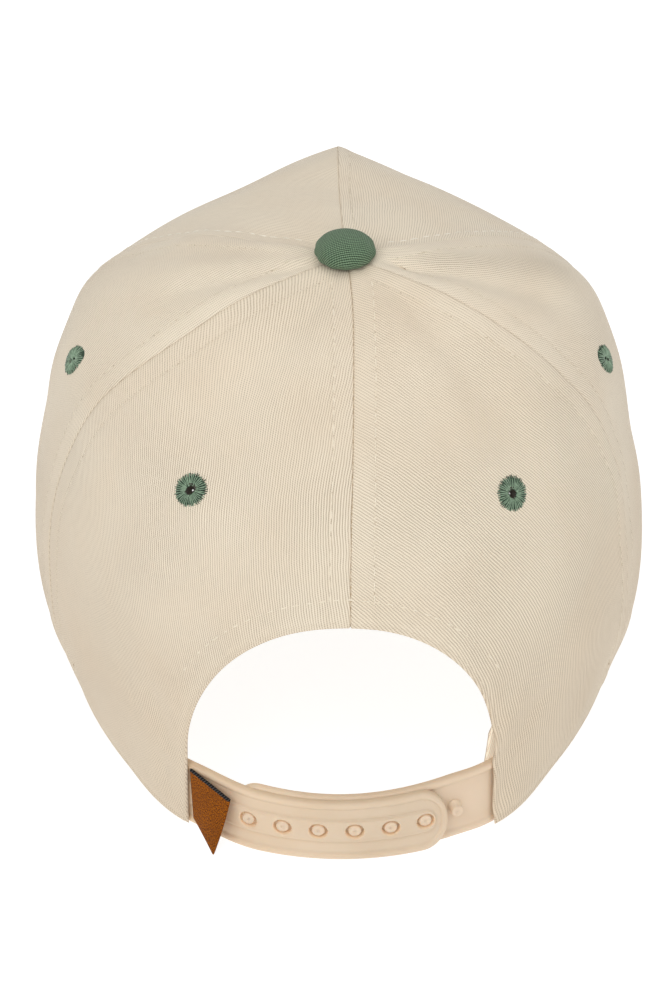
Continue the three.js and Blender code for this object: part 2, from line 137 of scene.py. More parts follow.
# how far the stitches reach into the hole, how oval the ring is, and which way in degrees
EYELET_SHAPES = {
    "eyelet_side_left": [0.5, 0.28, 76],
    "eyelet_side_right": [0.8, 0.22, 118],
    "eyelet_back_left": [1.45, 0.08, 55],
    "eyelet_back_right": [1.4, 0.04, 95],
}
EYELET_RADIUS = 4.5
EYELET_HOLE = 1.7
ARCH_STITCH = 7.4
# where each piece lies on the bolt of cloth, so that no two show the same patch of it
PANEL_PATCH = 211
TAPE_PATCH = 500
TAPE_PATCH_STEP = 40
BUTTON_PATCH = 900
BAND_PATCH = 1500
BRIM_PATCH = 2500

BRIM_TIP = 171
brim_low, brim_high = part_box("brim")
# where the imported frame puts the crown's own origin
SHIFT = np.array([(brim_low.x + brim_high.x) * 500, brim_low.y * 1000 + BRIM_TIP, 0])


# Curves and surfaces
def curve(knots, values, x, end_slope=None, own=False):
    """Smooth curve through values at the knots; with own, every x has its own column of values."""
    values = np.asarray(values, float)
    knots = np.asarray(knots, float)
    x = np.asarray(x, float)
    widths = np.diff(knots)
    upright = (-1,) + (1,) * (values.ndim - 1)
    secants = np.diff(values, axis=0) / widths.reshape(upright)
    inner = (values[2:] - values[:-2]) / (widths[1:] + widths[:-1]).reshape(upright)
    first = 1.5 * secants[:1] - 0.5 * inner[:1]
    last = 1.5 * secants[-1:] - 0.5 * inner[-1:]
    if end_slope is not None:
        last = np.full_like(last, end_slope)
    slopes = np.concatenate([first, inner, last])
    i = np.clip(np.searchsorted(knots, x, side="right") - 1, 0, len(knots) - 2)
    s = (x - knots[i]) / widths[i]
    width = widths[i]
    here, after = i, i + 1
    if own:
        column = np.arange(len(x))
        here, after = (i, column), (i + 1, column)
    spare = values[here].ndim - s.ndim
    s = s.reshape(s.shape + (1,) * spare)
    width = width.reshape(s.shape)
    start = (2 * s**3 - 3 * s**2 + 1) * values[here] + (s**3 - 2 * s**2 + s) * width * slopes[here]
    end = (3 * s**2 - 2 * s**3) * values[after] + (s**3 - s**2) * width * slopes[after]
    return start + end


def crown(azimuth, level):
    """Points of the crown's smooth outer face."""
    azimuth, level = np.broadcast_arrays(np.asarray(azimuth, float), np.asarray(level, float))
    shape = azimuth.shape
    azimuth, level = azimuth.ravel(), level.ravel()
    folded = np.abs(azimuth - 360 * np.round(azimuth / 360))
    point = np.full((len(CROWN), 1), BUTTON_POINT_HEIGHT)
    reach = np.concatenate([CROWN[:, 1:6], 0 * point], axis=1)
    height = np.concatenate([CROWN[:, 6:], point], axis=1)
    meridian = curve(CROWN[:, 0], np.stack([reach, height], axis=2), folded, end_slope=0)
    at = curve(LEVELS, np.moveaxis(meridian, 1, 0), level, own=True)
    turn = np.radians(azimuth)
    x = at[:, 0] * np.sin(turn) + curve(LEVELS, LEAN, level)
    return np.stack([x, -at[:, 0] * np.cos(turn), at[:, 1]], axis=1).reshape(shape + (3,))


def unit(vectors):
    """Vectors of length 1 in the same directions."""
    return vectors / np.maximum(np.linalg.norm(vectors, axis=-1, keepdims=True), 1e-9)


def crown_normal(azimuth, level):
    """Outward direction of the crown."""
    low = np.maximum(level - 0.01, 0)
    high = np.minimum(level + 0.01, 0.99)
    round_it = crown(azimuth + 0.5, level) - crown(azimuth - 0.5, level)
    return unit(np.cross(round_it, crown(azimuth, high) - crown(azimuth, low)))


def along_fold(azimuth, level, fold):
    """The fold's depth on its line, fading to nothing at some distance from it."""
    start_azimuth, start_level, end_azimuth, end_level, width, depth = fold
    spots = np.stack([azimuth * MM_PER_DEGREE, level * MM_PER_LEVEL], axis=-1)
    start = np.array([start_azimuth * MM_PER_DEGREE, start_level * MM_PER_LEVEL])
    line = np.array([end_azimuth * MM_PER_DEGREE, end_level * MM_PER_LEVEL]) - start
    share = np.clip((spots - start) @ line / (line @ line), 0, 1)
    distance = np.linalg.norm(spots - start - share[..., None] * line, axis=-1)
    return depth * np.exp(-((distance / width) ** 2))


def fold_depth(azimuth, level):
    """How far the soft folds push the cloth in."""
    total = np.zeros(azimuth.shape)
    for fold in FOLDS:
        total += along_fold(azimuth, level, fold)
    return total


def crown_point(azimuth, level, depth):
    """Points of the cloth at a depth below its outer face."""
    inwards = depth + fold_depth(azimuth, level)
    return crown(azimuth, level) - crown_normal(azimuth, level) * inwards[..., None]


def ease(x, start, end):
    """Smooth step from 0 at start to 1 at end."""
    s = np.clip((x - start) / (end - start), 0, 1)
    return s * s * (3 - 2 * s)


def bump(x, centre, width):
    """Soft hill of height 1 round a centre."""
    return np.exp(-(((x - centre) / width) ** 2))


def top_dip(level):
    """How far the cloth dips under the button."""
    return 0.35 * ease(level, DIP_LEVEL, PANEL_TOP_LEVEL)


def ripples(spots, wavelength, seed, stretch=(1, 1)):
    """Smooth seeded unevenness between about -1 and 1, of roughly that wavelength."""
    random = np.random.default_rng(seed)
    total = np.zeros(len(spots))
    waves = 9
    for _ in range(waves):
        angle = random.uniform(0, math.tau)
        length = wavelength * random.uniform(0.7, 1.6)
        phase = random.uniform(0, math.tau)
        run = spots[:, 0] * math.cos(angle) / stretch[0] + spots[:, 1] * math.sin(angle) / stretch[1]
        total += np.cos(math.tau * run / length + phase)
    return total / math.sqrt(waves) * 0.9


# Flat outlines
def inside(spots, loop):
    """True for every spot inside the closed loop."""
    x, y = spots[:, :1], spots[:, 1:]
    ax, ay = loop.T
    bx, by = np.roll(loop, -1, axis=0).T
    crosses = (ay > y) != (by > y)
    rise = np.where(by == ay, 1, by - ay)
    return (crosses & (x < ax + (y - ay) * (bx - ax) / rise)).sum(axis=1) % 2 == 1


def distance_to(spots, line):
    """Distance from every spot to a line of points."""
    found = np.empty(len(spots))
    start, step = line[:-1], np.diff(line, axis=0)
    length = np.maximum((step**2).sum(axis=1), 1e-12)
    batch = 2000
    for first in range(0, len(spots), batch):
        away = spots[first : first + batch, None] - start
        share = np.clip((away * step).sum(axis=2) / length, 0, 1)
        gap = away - share[..., None] * step
        found[first : first + batch] = np.sqrt((gap**2).sum(axis=2).min(axis=1))
    return found


def resampled(line, spacing):
    """Line with evenly spaced points."""
    steps = np.linalg.norm(np.diff(line, axis=0), axis=1)
    run = np.concatenate([[0], np.cumsum(steps)])
    count = max(int(round(run[-1] / spacing)), 1)
    at = np.linspace(0, run[-1], count + 1)
    return np.stack([np.interp(at, run, line[:, k]) for k in range(line.shape[1])], axis=1)


def directions(turn):
    """Flat directions at angles in radians."""
    return np.stack([np.cos(turn), np.sin(turn)], axis=1)


def circle(centre, radius, count):
    turn = np.linspace(0, math.tau, count, endpoint=False)
    return np.asarray(centre) + radius * directions(turn)


def closed(loop):
    """Loop with its first point again at its end."""
    return np.concatenate([loop, loop[:1]])


def shrunk(loop, distance):
    """Closed loop moved inwards by a distance; the loop runs anticlockwise."""
    tangent = unit(np.roll(loop, -1, axis=0) - np.roll(loop, 1, axis=0))
    return loop + distance * np.stack([-tangent[:, 1], tangent[:, 0]], axis=1)


# Meshes
def make_object(name, points, faces, attributes=None, smooth=True):
    """Object of a mesh given in millimetres in the crown's own frame."""
    mesh = bpy.data.meshes.new(name)
    points = (np.asarray(points) + SHIFT) / 1000
    mesh.from_pydata(points.tolist(), [], [list(map(int, face)) for face in faces])
    mesh.validate()
    for key, values in (attributes or {}).items():
        kind, field = ("FLOAT_VECTOR", "vector") if values.ndim == 2 else ("FLOAT", "value")
        layer = mesh.attributes.new(key, kind, "POINT")
        layer.data.foreach_set(field, values.astype(np.float32).ravel())
    if smooth:
        mesh.shade_smooth()
    made = bpy.data.objects.new(name, mesh)
    bpy.context.scene.collection.objects.link(made)
    return made


def triangulate(loops, guides, spacing):
    """Flat triangles inside loops[0] and outside the other loops; guides are lines to follow."""
    lines = [closed(loop) for loop in loops] + list(guides)
    fixed = np.concatenate(lines)
    low, high = loops[0].min(axis=0), loops[0].max(axis=0)
    rows = np.arange(low[1], high[1], spacing * 0.866)
    columns = np.arange(low[0], high[0], spacing)
    grid = np.array([[x + spacing * 0.5 * (j % 2), y] for j, y in enumerate(rows) for x in columns])
    keep = inside(grid, loops[0])
    for hole in loops[1:]:
        keep &= ~inside(grid, hole)
    grid = grid[keep]
    near = np.zeros(len(grid), bool)
    batch = 1000
    for first in range(0, len(grid), batch):
        gap = grid[first : first + batch, None] - fixed
        near[first : first + batch] = (gap**2).sum(axis=2).min(axis=1) < (0.62 * spacing) ** 2
    spots, edges = [], []
    for line in lines:
        first = sum(map(len, spots))
        edges += [(first + i, first + i + 1) for i in range(len(line) - 1)]
        spots.append(line)
    spots.append(grid[~near])
    flat = [Vector(spot) for spot in np.concatenate(spots)]
    found, _, triangles, *_ = delaunay_2d_cdt(flat, edges, [], 0, 1e-4)
    spots = np.array([tuple(v) for v in found])
    triangles = np.array([face for face in triangles if len(face) == 3])
    middle = spots[triangles].mean(axis=1)
    keep = inside(middle, loops[0])
    for hole in loops[1:]:
        keep &= ~inside(middle, hole)
    triangles = triangles[keep]
    a, b, c = (spots[triangles[:, k]] for k in range(3))
    area = (b - a)[:, 0] * (c - a)[:, 1] - (b - a)[:, 1] * (c - a)[:, 0]
    triangles[area < 0] = triangles[area < 0][:, ::-1]
    triangles = triangles[np.abs(area) > 1e-7]
    used = np.unique(triangles)
    renumber = np.full(len(spots), -1)
    renumber[used] = np.arange(len(used))
    return spots[used], renumber[triangles]


def wall_solid(name, spots, triangles, outer, inner, attributes=None):
    """Closed wall: flat triangles placed on an outer and an inner face, joined along their edges."""
    count = len(spots)
    directed = np.concatenate([triangles[:, [0, 1]], triangles[:, [1, 2]], triangles[:, [2, 0]]])
    codes = directed[:, 0] * count + directed[:, 1]
    free = directed[~np.isin(codes, directed[:, 1] * count + directed[:, 0])]
    faces = [tuple(t) for t in triangles]
    faces += [(c + count, b + count, a + count) for a, b, c in triangles]
    faces += [(b, a, a + count, b + count) for a, b in free]
    both = {key: np.concatenate(pair) for key, pair in (attributes or {}).items()}
    return make_object(name, np.concatenate([outer, inner]), faces, both)


def sheet_solid(name, outer, inner, attributes):
    """Closed sheet between two grids of points, joined round their border."""
    rows, columns = outer.shape[:2]
    total = rows * columns
    faces = []
    for i in range(rows - 1):
        for j in range(columns - 1):
            a = i * columns + j
            b, c, d = a + 1, a + columns + 1, a + columns
            faces.append((a, b, c, d))
            faces.append((d + total, c + total, b + total, a + total))
    border = [(0, j) for j in range(columns)] + [(i, columns - 1) for i in range(1, rows)]
    border += [(rows - 1, j) for j in range(columns - 2, -1, -1)]
    border += [(i, 0) for i in range(rows - 2, 0, -1)]
    ids = [i * columns + j for i, j in border]
    for a, b in zip(ids, ids[1:] + ids[:1]):
        faces.append((b, a, a + total, b + total))
    points = np.concatenate([outer.reshape(-1, 3), inner.reshape(-1, 3)])
    return make_object(name, points, faces, attributes)


def turned(points, degrees):
    """Cloth coordinates turned, so that the ribs run another way."""
    angle = math.radians(degrees)
    x, y, height = points.T
    across = x * math.cos(angle) - y * math.sin(angle)
    along = x * math.sin(angle) + y * math.cos(angle)
    return np.stack([across, along, height], axis=1)


def finish_piece(made, material, node=None):
    """Gives a piece its material and its place in the frame."""
    if material:
        made.data.materials.clear()
        made.data.materials.append(material)
    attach(made, "root")
    if node:
        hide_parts(node)
    return made


# Materials
class Shader:
    """A material's node tree, with one short call for each node."""

    def __init__(self, name):
        self.material = bpy.data.materials.new(name)
        self.material.use_nodes = True
        self.tree = self.material.node_tree
        self.tree.nodes.clear()

    def add(self, kind, inputs=None, **settings):
        node = self.tree.nodes.new("ShaderNode" + kind)
        for key, value in settings.items():
            setattr(node, key, value)
        for key, value in (inputs or {}).items():
            if isinstance(value, bpy.types.NodeSocket):
                self.tree.links.new(value, node.inputs[key])
            else:
                node.inputs[key].default_value = value
        return node

    def math(self, operation, a, b=0.0, c=0.0, clamp=False):
        return self.add("Math", {0: a, 1: b, 2: c}, operation=operation, use_clamp=clamp).outputs[0]

    def vector(self, operation, a, b=(0, 0, 0), scale=1.0):
        node = self.add("VectorMath", {0: a, 1: b, 3: scale}, operation=operation)
        return node.outputs["Value" if operation in ("LENGTH", "DOT_PRODUCT") else "Vector"]

    def noise(self, coordinates, scale, detail=2.0, roughness=0.5, colour=False):
        inputs = {"Vector": coordinates, "Scale": scale, "Detail": detail, "Roughness": roughness}
        return self.add("TexNoise", inputs).outputs["Color" if colour else "Fac"]

    def mix(self, share, first, second, blend="MIX"):
        node = self.add("Mix", {0: share, 6: first, 7: second}, data_type="RGBA", blend_type=blend)
        return node.outputs[2]

    def remap(self, value, low, high, to_low=0.0, to_high=1.0):
        inputs = {0: value, 1: low, 2: high, 3: to_low, 4: to_high}
        return self.add("MapRange", inputs, interpolation_type="SMOOTHSTEP").outputs[0]

    def attribute(self, name):
        return self.add("Attribute", attribute_name=name)

    def bump(self, height, distance, normal=None, strength=1.0):
        inputs = {"Height": height, "Distance": distance, "Strength": strength}
        if normal:
            inputs["Normal"] = normal
        return self.add("Bump", inputs).outputs[0]

    def finish(self, inputs):
        surface = self.add("BsdfPrincipled", inputs)
        output = self.add("OutputMaterial")
        self.tree.links.new(surface.outputs[0], output.inputs["Surface"])
        return self.material


# what the cloth's colour is multiplied by where it is darkened: painted shade on the crown panels, darker
# edges on the sweatband and a darker lip on the brim
DARKENED_TINT = (0.89, 0.85, 0.815, 1)


def twill_material(name, crest, groove_shade, stain, pitch, rib_height, beads):
    """Twill cloth. Its coordinates run in millimetres across and along the ribs."""
    shader = Shader(name)
    cloth = shader.attribute("cloth").outputs["Vector"]
    # the ribs wander slowly, by up to about a millimetre, and waver a little
    moved = cloth
    for scale, reach in ((0.055, 1.9), (0.5, 0.2)):
        stray = shader.noise(cloth, scale, 2.0, colour=True)
        stray = shader.vector("SUBTRACT", stray, (0.5, 0.5, 0.5))
        moved = shader.vector("ADD", moved, shader.vector("SCALE", stray, scale=reach))
    axes = shader.add("SeparateXYZ", {0: moved})
    phase = shader.math("MULTIPLY", axes.outputs[0], 1 / pitch)
    along = axes.outputs[1]
    turns = shader.math("MULTIPLY", phase, math.tau)
    rib = shader.math("MULTIPLY_ADD", shader.math("COSINE", turns), 0.5, 0.5)
    rib = shader.math("POWER", rib, 0.5)
    # each rib is a row of yarns that lie over one another, half a yarn on from its neighbour
    yarns = shader.math("MULTIPLY_ADD", along, 1 / (pitch * 0.82), shader.math("MULTIPLY", phase, 0.5))
    yarn = shader.math("COSINE", shader.math("MULTIPLY", yarns, math.tau))
    yarn = shader.math("MULTIPLY_ADD", yarn, 0.5, 0.5)
    number = shader.math("FLOOR", shader.math("ADD", phase, 0.5))
    # yarns that are thicker here and thinner there, each rib in its own way
    row = shader.math("MULTIPLY", number, 3.7)
    run = shader.math("MULTIPLY", along, 0.22)
    slub = shader.noise(shader.add("CombineXYZ", {0: row, 1: run}).outputs[0], 1.0, 3.0, 0.6)
    fibres = shader.noise(cloth, 3.4, 3.0, 0.65)
    pressed = shader.attribute("pressed").outputs["Fac"]
    # small gaps in the grooves, where one yarn dips under the next; they sink the bump, and below they are
    # coloured dark as painted shade
    pit = shader.math("MULTIPLY", shader.math("SUBTRACT", 1.0, rib), shader.math("SUBTRACT", 1.0, yarn))
    rib = shader.math("MULTIPLY", rib, shader.math("MULTIPLY_ADD", yarn, beads, 1 - beads))
    height = shader.math("MULTIPLY", rib, shader.math("MULTIPLY_ADD", slub, 0.7, 0.6))
    height = shader.math("MULTIPLY_ADD", pit, -0.5, height)
    flat = shader.math("MULTIPLY_ADD", shader.math("SUBTRACT", height, 0.6), 0.35, 0.56)
    change = shader.math("SUBTRACT", flat, height)
    height = shader.math("ADD", height, shader.math("MULTIPLY", pressed, change))
    height = shader.math("ADD", height, shader.math("MULTIPLY", fibres, 0.25))
    normal = shader.bump(height, rib_height / 1000)
    blotch = shader.noise(cloth, 0.035, 3.0, 0.55)
    # painted shade: the grooves between the ribs are coloured darker than the crests
    shade = shader.mix(shader.remap(height, 0.12, 0.85), groove_shade, crest)
    shade = shader.mix(shader.remap(blotch, 0.35, 0.75, 0.0, 0.35), shade, stain)
    # painted shade in the small gaps
    gap = shader.math("MULTIPLY", pit, shader.remap(slub, 0.3, 0.7, 0.4, 1.0), clamp=True)
    shade = shader.mix(gap, shade, tuple(0.68 * part for part in groove_shade[:3]) + (1,))
    flecks = shader.remap(shader.noise(cloth, 1.6, 2.0, 0.7), 0.66, 0.8, 0.0, 0.35)
    shade = shader.mix(flecks, shade, groove_shade)
    # the colour is multiplied darker where the darkening attribute says; on the crown panels that is
    # painted shade
    darkening = shader.attribute("darkening").outputs["Fac"]
    shade = shader.mix(shader.math("MULTIPLY", darkening, 0.8, clamp=True), shade, DARKENED_TINT, "MULTIPLY")
    inputs = {"Base Color": shade, "Normal": normal, "Roughness": shader.remap(slub, 0.3, 0.7, 0.82, 0.95)}
    # painted light: a glow in the crest colour, on the sweatband's end that shows beside the arch
    inputs["Emission Color"] = shader.mix(shader.attribute("painted_glow").outputs["Fac"], (0, 0, 0, 1), crest)
    inputs["Emission Strength"] = 0.4
    inputs.update({"Sheen Weight": 0.12, "Sheen Roughness": 0.4, "Specular IOR Level": 0.25})
    return shader.finish(inputs)


def thread_material(name, light, dark):
    """Sewing thread with a fine twist."""
    shader = Shader(name)
    spot = shader.add("TexCoord").outputs["Object"]
    tone = shader.noise(spot, 900.0, 2.0, 0.6)
    twist = shader.noise(spot, 4200.0, 2.0, 0.6)
    shade = shader.mix(shader.remap(tone, 0.3, 0.7), dark, light)
    inputs = {"Base Color": shade, "Roughness": shader.remap(twist, 0.3, 0.7, 0.45, 0.7)}
    inputs["Normal"] = shader.bump(twist, 0.00006)
    inputs.update({"Sheen Weight": 0.2, "Sheen Roughness": 0.35, "Specular IOR Level": 0.35})
    return shader.finish(inputs)


def plastic_material(name, colour, deep, glow):
    """Cream moulded plastic that lets a little light through, with a painted glow where its rim attribute
    says.
    """
    shader = Shader(name)
    spot = shader.add("TexCoord").outputs["Object"]
    cloud = shader.noise(spot, 60.0, 3.0, 0.5)
    grain = shader.noise(spot, 2600.0, 3.0, 0.6)
    smear = shader.noise(spot, 240.0, 3.0, 0.6)
    shade = shader.mix(shader.remap(cloud, 0.3, 0.7), deep, colour)
    # painted light: where the rim attribute says, the colour turns to the glow colour and the plastic glows
    rim = shader.attribute("rim").outputs["Fac"]
    shade = shader.mix(rim, shade, glow)
    height = shader.math("MULTIPLY_ADD", smear, 1.5, grain)
    inputs = {"Base Color": shade, "Roughness": shader.remap(smear, 0.3, 0.7, 0.34, 0.52)}
    inputs["Normal"] = shader.bump(height, 0.00002)
    inputs["Emission Color"] = shader.mix(rim, (0, 0, 0, 1), glow)
    inputs.update({"Emission Strength": 0.3, "Subsurface Weight": 0.2, "Subsurface Scale": 0.0008})
    inputs.update({"Subsurface Radius": (1.0, 0.6, 0.35), "IOR": 1.46})
    return shader.finish(inputs)


def leather_material(name):
    """Tan leather with a dark painted edge, in millimetres from its sewn side and from its top."""
    shader = Shader(name)
    spot = shader.attribute("cloth").outputs["Vector"]
    edges = shader.add("SeparateXYZ", {0: spot})
    pores = shader.add("TexVoronoi", {"Vector": spot, "Scale": 2.1, "Randomness": 1.0}, feature="F1")
    fine = shader.add("Mapping", {"Vector": spot, "Scale": (4.4, 2.4, 1.0)}).outputs[0]
    grain = shader.noise(fine, 1.0, 3.0, 0.6)
    cloud = shader.noise(spot, 0.16, 3.0, 0.6)
    pebble = shader.remap(pores.outputs["Distance"], 0.0, 0.6, 1.0, 0.0)
    shade = shader.mix(shader.remap(grain, 0.42, 0.58), (0.06, 0.013, 0.0005, 1), (0.43, 0.12, 0.001, 1))
    shade = shader.mix(shader.remap(cloud, 0.35, 0.7, 0.0, 0.5), shade, (0.19, 0.05, 0.002, 1))
    top = shader.remap(edges.outputs[1], 0.36, 0.46, 1.0, 0.0)
    side = shader.remap(edges.outputs[0], 0.2, 0.35, 0.8, 0.0)
    dark = shader.math("MAXIMUM", top, side)
    slant = shader.math("MULTIPLY", edges.outputs[1], 7.0)
    slant = shader.math("MULTIPLY_ADD", edges.outputs[0], 8.0, slant)
    sewn = shader.math("MULTIPLY_ADD", shader.math("SINE", slant), 0.5, 0.5)
    black = shader.mix(shader.math("POWER", sewn, 3.0), (0.008, 0.008, 0.01, 1), (0.09, 0.088, 0.085, 1))
    shade = shader.mix(dark, shade, black)
    height = shader.math("MULTIPLY_ADD", pebble, 0.7, grain)
    height = shader.math("ADD", height, shader.math("MULTIPLY", shader.math("MULTIPLY", sewn, dark), 1.2))
    inputs = {"Base Color": shade, "Roughness": shader.remap(grain, 0.3, 0.7, 0.55, 0.72)}
    inputs["Specular IOR Level"] = 0.12
    inputs["Normal"] = shader.bump(height, 0.00012)
    return shader.finish(inputs)


# each cloth's crest colour, the painted shade colour of its grooves, and its stain colour
CREAM = (0.86, 0.77, 0.625, 1)
CREAM_GROOVE_SHADE = (0.63, 0.52, 0.385, 1)
CREAM_STAIN = (0.78, 0.645, 0.485, 1)
GREEN = (0.175, 0.275, 0.17, 1)
GREEN_GROOVE_SHADE = (0.028, 0.06, 0.032, 1)
GREEN_STAIN = (0.145, 0.245, 0.145, 1)
cream_twill = twill_material("cream_twill", CREAM, CREAM_GROOVE_SHADE, CREAM_STAIN, 0.69, 0.095, 0.25)
BAND_CREAM = (0.86, 0.77, 0.63, 1)
band_twill = twill_material("band_twill", BAND_CREAM, CREAM_GROOVE_SHADE, CREAM_STAIN, 0.66, 0.08, 0.25)
green_twill = twill_material("green_twill", GREEN, GREEN_GROOVE_SHADE, GREEN_STAIN, 0.72, 0.14, 0.35)
BUTTON_GREEN = (0.25, 0.375, 0.23, 1)
BUTTON_GROOVE_SHADE = (0.02, 0.045, 0.022, 1)
button_twill = twill_material("button_twill", BUTTON_GREEN, BUTTON_GROOVE_SHADE, GREEN_STAIN, 0.64, 0.2, 0.6)
cream_thread = thread_material("cream_thread", (0.8, 0.72, 0.58, 1), (0.66, 0.56, 0.42, 1))
seam_thread = thread_material("seam_thread", (0.9, 0.82, 0.68, 1), (0.8, 0.71, 0.56, 1))
# painted shade: a darker copy of the cream thread for the needle holes
hole_shade_thread = thread_material("hole_shade_thread", (0.56, 0.45, 0.32, 1), (0.42, 0.32, 0.2, 1))
shaded_thread = thread_material("shaded_thread", (0.045, 0.036, 0.024, 1), (0.022, 0.016, 0.011, 1))
green_thread = thread_material("green_thread", (0.33, 0.46, 0.32, 1), (0.17, 0.26, 0.17, 1))
shade_green_thread = thread_material("shade_green_thread", (0.06, 0.105, 0.06, 1), (0.022, 0.045, 0.025, 1))
brim_thread = thread_material("brim_thread", (0.2, 0.33, 0.205, 1), (0.1, 0.185, 0.112, 1))
# painted shade: the dark bed under an eyelet's threads
shade_bed_thread = thread_material("shade_bed_thread", (0.035, 0.07, 0.04, 1), (0.016, 0.034, 0.02, 1))
# painted light: a lighter copy of the cream thread, for the rows beside the front seams
lit_cream_thread = thread_material("lit_cream_thread", (0.93, 0.88, 0.78, 1), (0.82, 0.75, 0.62, 1))
tan_thread = thread_material("tan_thread", (0.5, 0.36, 0.2, 1), (0.36, 0.24, 0.12, 1))
strap_plastic = plastic_material(
    "strap_plastic", (0.68, 0.55, 0.41, 1), (0.64, 0.51, 0.37, 1), (0.8, 0.57, 0.36, 1)
)
# painted light: a lighter copy of the strap's plastic for the inner half, which lies in shade
lit_inner_strap_plastic = plastic_material(
    "lit_inner_strap_plastic", (0.755, 0.595, 0.44, 1), (0.715, 0.555, 0.4, 1), (0.84, 0.68, 0.5, 1)
)
tab_leather = leather_material("tab_leather")


# Stitches
def stitch_tree():
    """Node tree that lays one short piece of thread on every point."""
    tree = bpy.data.node_groups.new("lay_stitches", "GeometryNodeTree")
    sockets = {}
    wanted = [
        ["Geometry", "NodeSocketGeometry"],
        ["Stitch Length", "NodeSocketFloat"],
        ["Thread Radius", "NodeSocketFloat"],
        ["Rise", "NodeSocketFloat"],
        ["Uneven", "NodeSocketFloat"],
        ["Seed", "NodeSocketInt"],
        ["Thread", "NodeSocketMaterial"],
    ]
    for label, kind in wanted:
        sockets[label] = tree.interface.new_socket(label, in_out="INPUT", socket_type=kind).identifier
    tree.interface.new_socket("Geometry", in_out="OUTPUT", socket_type="NodeSocketGeometry")

    def add(kind, inputs=None, **settings):
        node = tree.nodes.new(kind)
        for key, value in settings.items():
            setattr(node, key, value)
        for key, value in (inputs or {}).items():
            if isinstance(value, bpy.types.NodeSocket):
                tree.links.new(value, node.inputs[key])
            else:
                node.inputs[key].default_value = value
        return node

    given = add("NodeGroupInput").outputs
    half = add("ShaderNodeMath", {0: given["Stitch Length"], 1: 0.5}, operation="MULTIPLY").outputs[0]
    back = add("ShaderNodeMath", {0: half, 1: -1.0}, operation="MULTIPLY").outputs[0]
    down = add("ShaderNodeMath", {0: given["Thread Radius"], 1: -1.6}, operation="MULTIPLY").outputs[0]
    start = add("ShaderNodeCombineXYZ", {0: back, 2: down}).outputs[0]
    top = add("ShaderNodeCombineXYZ", {2: given["Rise"]}).outputs[0]
    end = add("ShaderNodeCombineXYZ", {0: half, 2: down}).outputs[0]
    bow = {"Resolution": 5, "Start": start, "Middle": top, "End": end}
    line = add("GeometryNodeCurveQuadraticBezier", bow)
    ring = add("GeometryNodeCurvePrimitiveCircle", {"Resolution": 5, "Radius": given["Thread Radius"]})
    tube_inputs = {"Curve": line.outputs[0], "Profile Curve": ring.outputs[0], "Fill Caps": True}
    tube = add("GeometryNodeCurveToMesh", tube_inputs).outputs[0]
    along = add("GeometryNodeInputNamedAttribute", {"Name": "along"}, data_type="FLOAT_VECTOR").outputs[0]
    facing = add("GeometryNodeInputNamedAttribute", {"Name": "facing"}, data_type="FLOAT_VECTOR").outputs[0]
    turn = add("FunctionNodeAlignRotationToVector", {"Vector": facing}, axis="Z", pivot_axis="AUTO")
    lengthways = {"Rotation": turn.outputs[0], "Vector": along}
    turn = add("FunctionNodeAlignRotationToVector", lengthways, axis="X", pivot_axis="Z")
    low = add("ShaderNodeMath", {0: 1.0, 1: given["Uneven"]}, operation="SUBTRACT").outputs[0]
    high = add("ShaderNodeMath", {0: 1.0, 1: given["Uneven"]}, operation="ADD").outputs[0]
    spread = {2: low, 3: high, "Seed": given["Seed"]}
    size = add("FunctionNodeRandomValue", spread, data_type="FLOAT").outputs[1]
    scale = add("ShaderNodeCombineXYZ", {0: size, 1: 1.0, 2: 1.0}).outputs[0]
    laid_inputs = {"Points": given["Geometry"], "Instance": tube, "Scale": scale}
    laid_inputs["Rotation"] = turn.outputs[0]
    laid = add("GeometryNodeInstanceOnPoints", laid_inputs).outputs[0]
    real = add("GeometryNodeRealizeInstances", {0: laid}).outputs[0]
    smooth = add("GeometryNodeSetShadeSmooth", {"Geometry": real}).outputs[0]
    done = add("GeometryNodeSetMaterial", {"Geometry": smooth, "Material": given["Thread"]}).outputs[0]
    add("NodeGroupOutput", {"Geometry": done})
    return tree, sockets


STITCH_TREE, STITCH_SOCKETS = stitch_tree()


def lay_stitches(name, rows, length, radius, rise, uneven, seed, thread):
    """Mesh object of stitches; each row holds the points, their directions and their facings."""
    points = np.concatenate([row[0] for row in rows])
    attributes = {
        "along": np.concatenate([row[1] for row in rows]),
        "facing": np.concatenate([row[2] for row in rows]),
    }
    made = make_object(name, points, [], attributes, smooth=False)
    modifier = made.modifiers.new("stitches", "NODES")
    modifier.node_group = STITCH_TREE
    settings = {
        "Stitch Length": length / 1000,
        "Thread Radius": radius / 1000,
        "Rise": rise / 1000,
        "Uneven": uneven,
        "Seed": seed,
        "Thread": thread,
    }
    for label, value in settings.items():
        modifier[STITCH_SOCKETS[label]] = value
    bpy.context.view_layer.update()
    evaluated = made.evaluated_get(bpy.context.evaluated_depsgraph_get())
    mesh = bpy.data.meshes.new_from_object(evaluated)
    made.modifiers.clear()
    made.data = mesh
    return made


def sew(name, rows, length, radius, rise, uneven, seed, thread):
    """Finished piece of stitches."""
    made = lay_stitches(name, rows, length, radius, rise, uneven, seed, thread)
    finish_piece(made, None)


def stitch_row(line, facings, pitch):
    """Points, directions and facings at an even pitch along a line of 3-D points."""
    both = resampled(np.concatenate([line, facings], axis=1), pitch)
    points, facing = both[:, :3], both[:, 3:]
    return points, unit(np.gradient(points, axis=0)), unit(facing)


def between(row):
    """Points half way between the stitches of a row."""
    return tuple((part[1:] + part[:-1]) / 2 for part in row)


# Crown panels
SEAM_ROLL_WIDTH = 0.38
STITCH_GROOVE = 0.16
STITCH_GROOVE_WIDTH = 0.35
PUCKER_LENGTH = 9
PUCKER_DEPTH = 0.12
PUCKER_REACH = 5.5


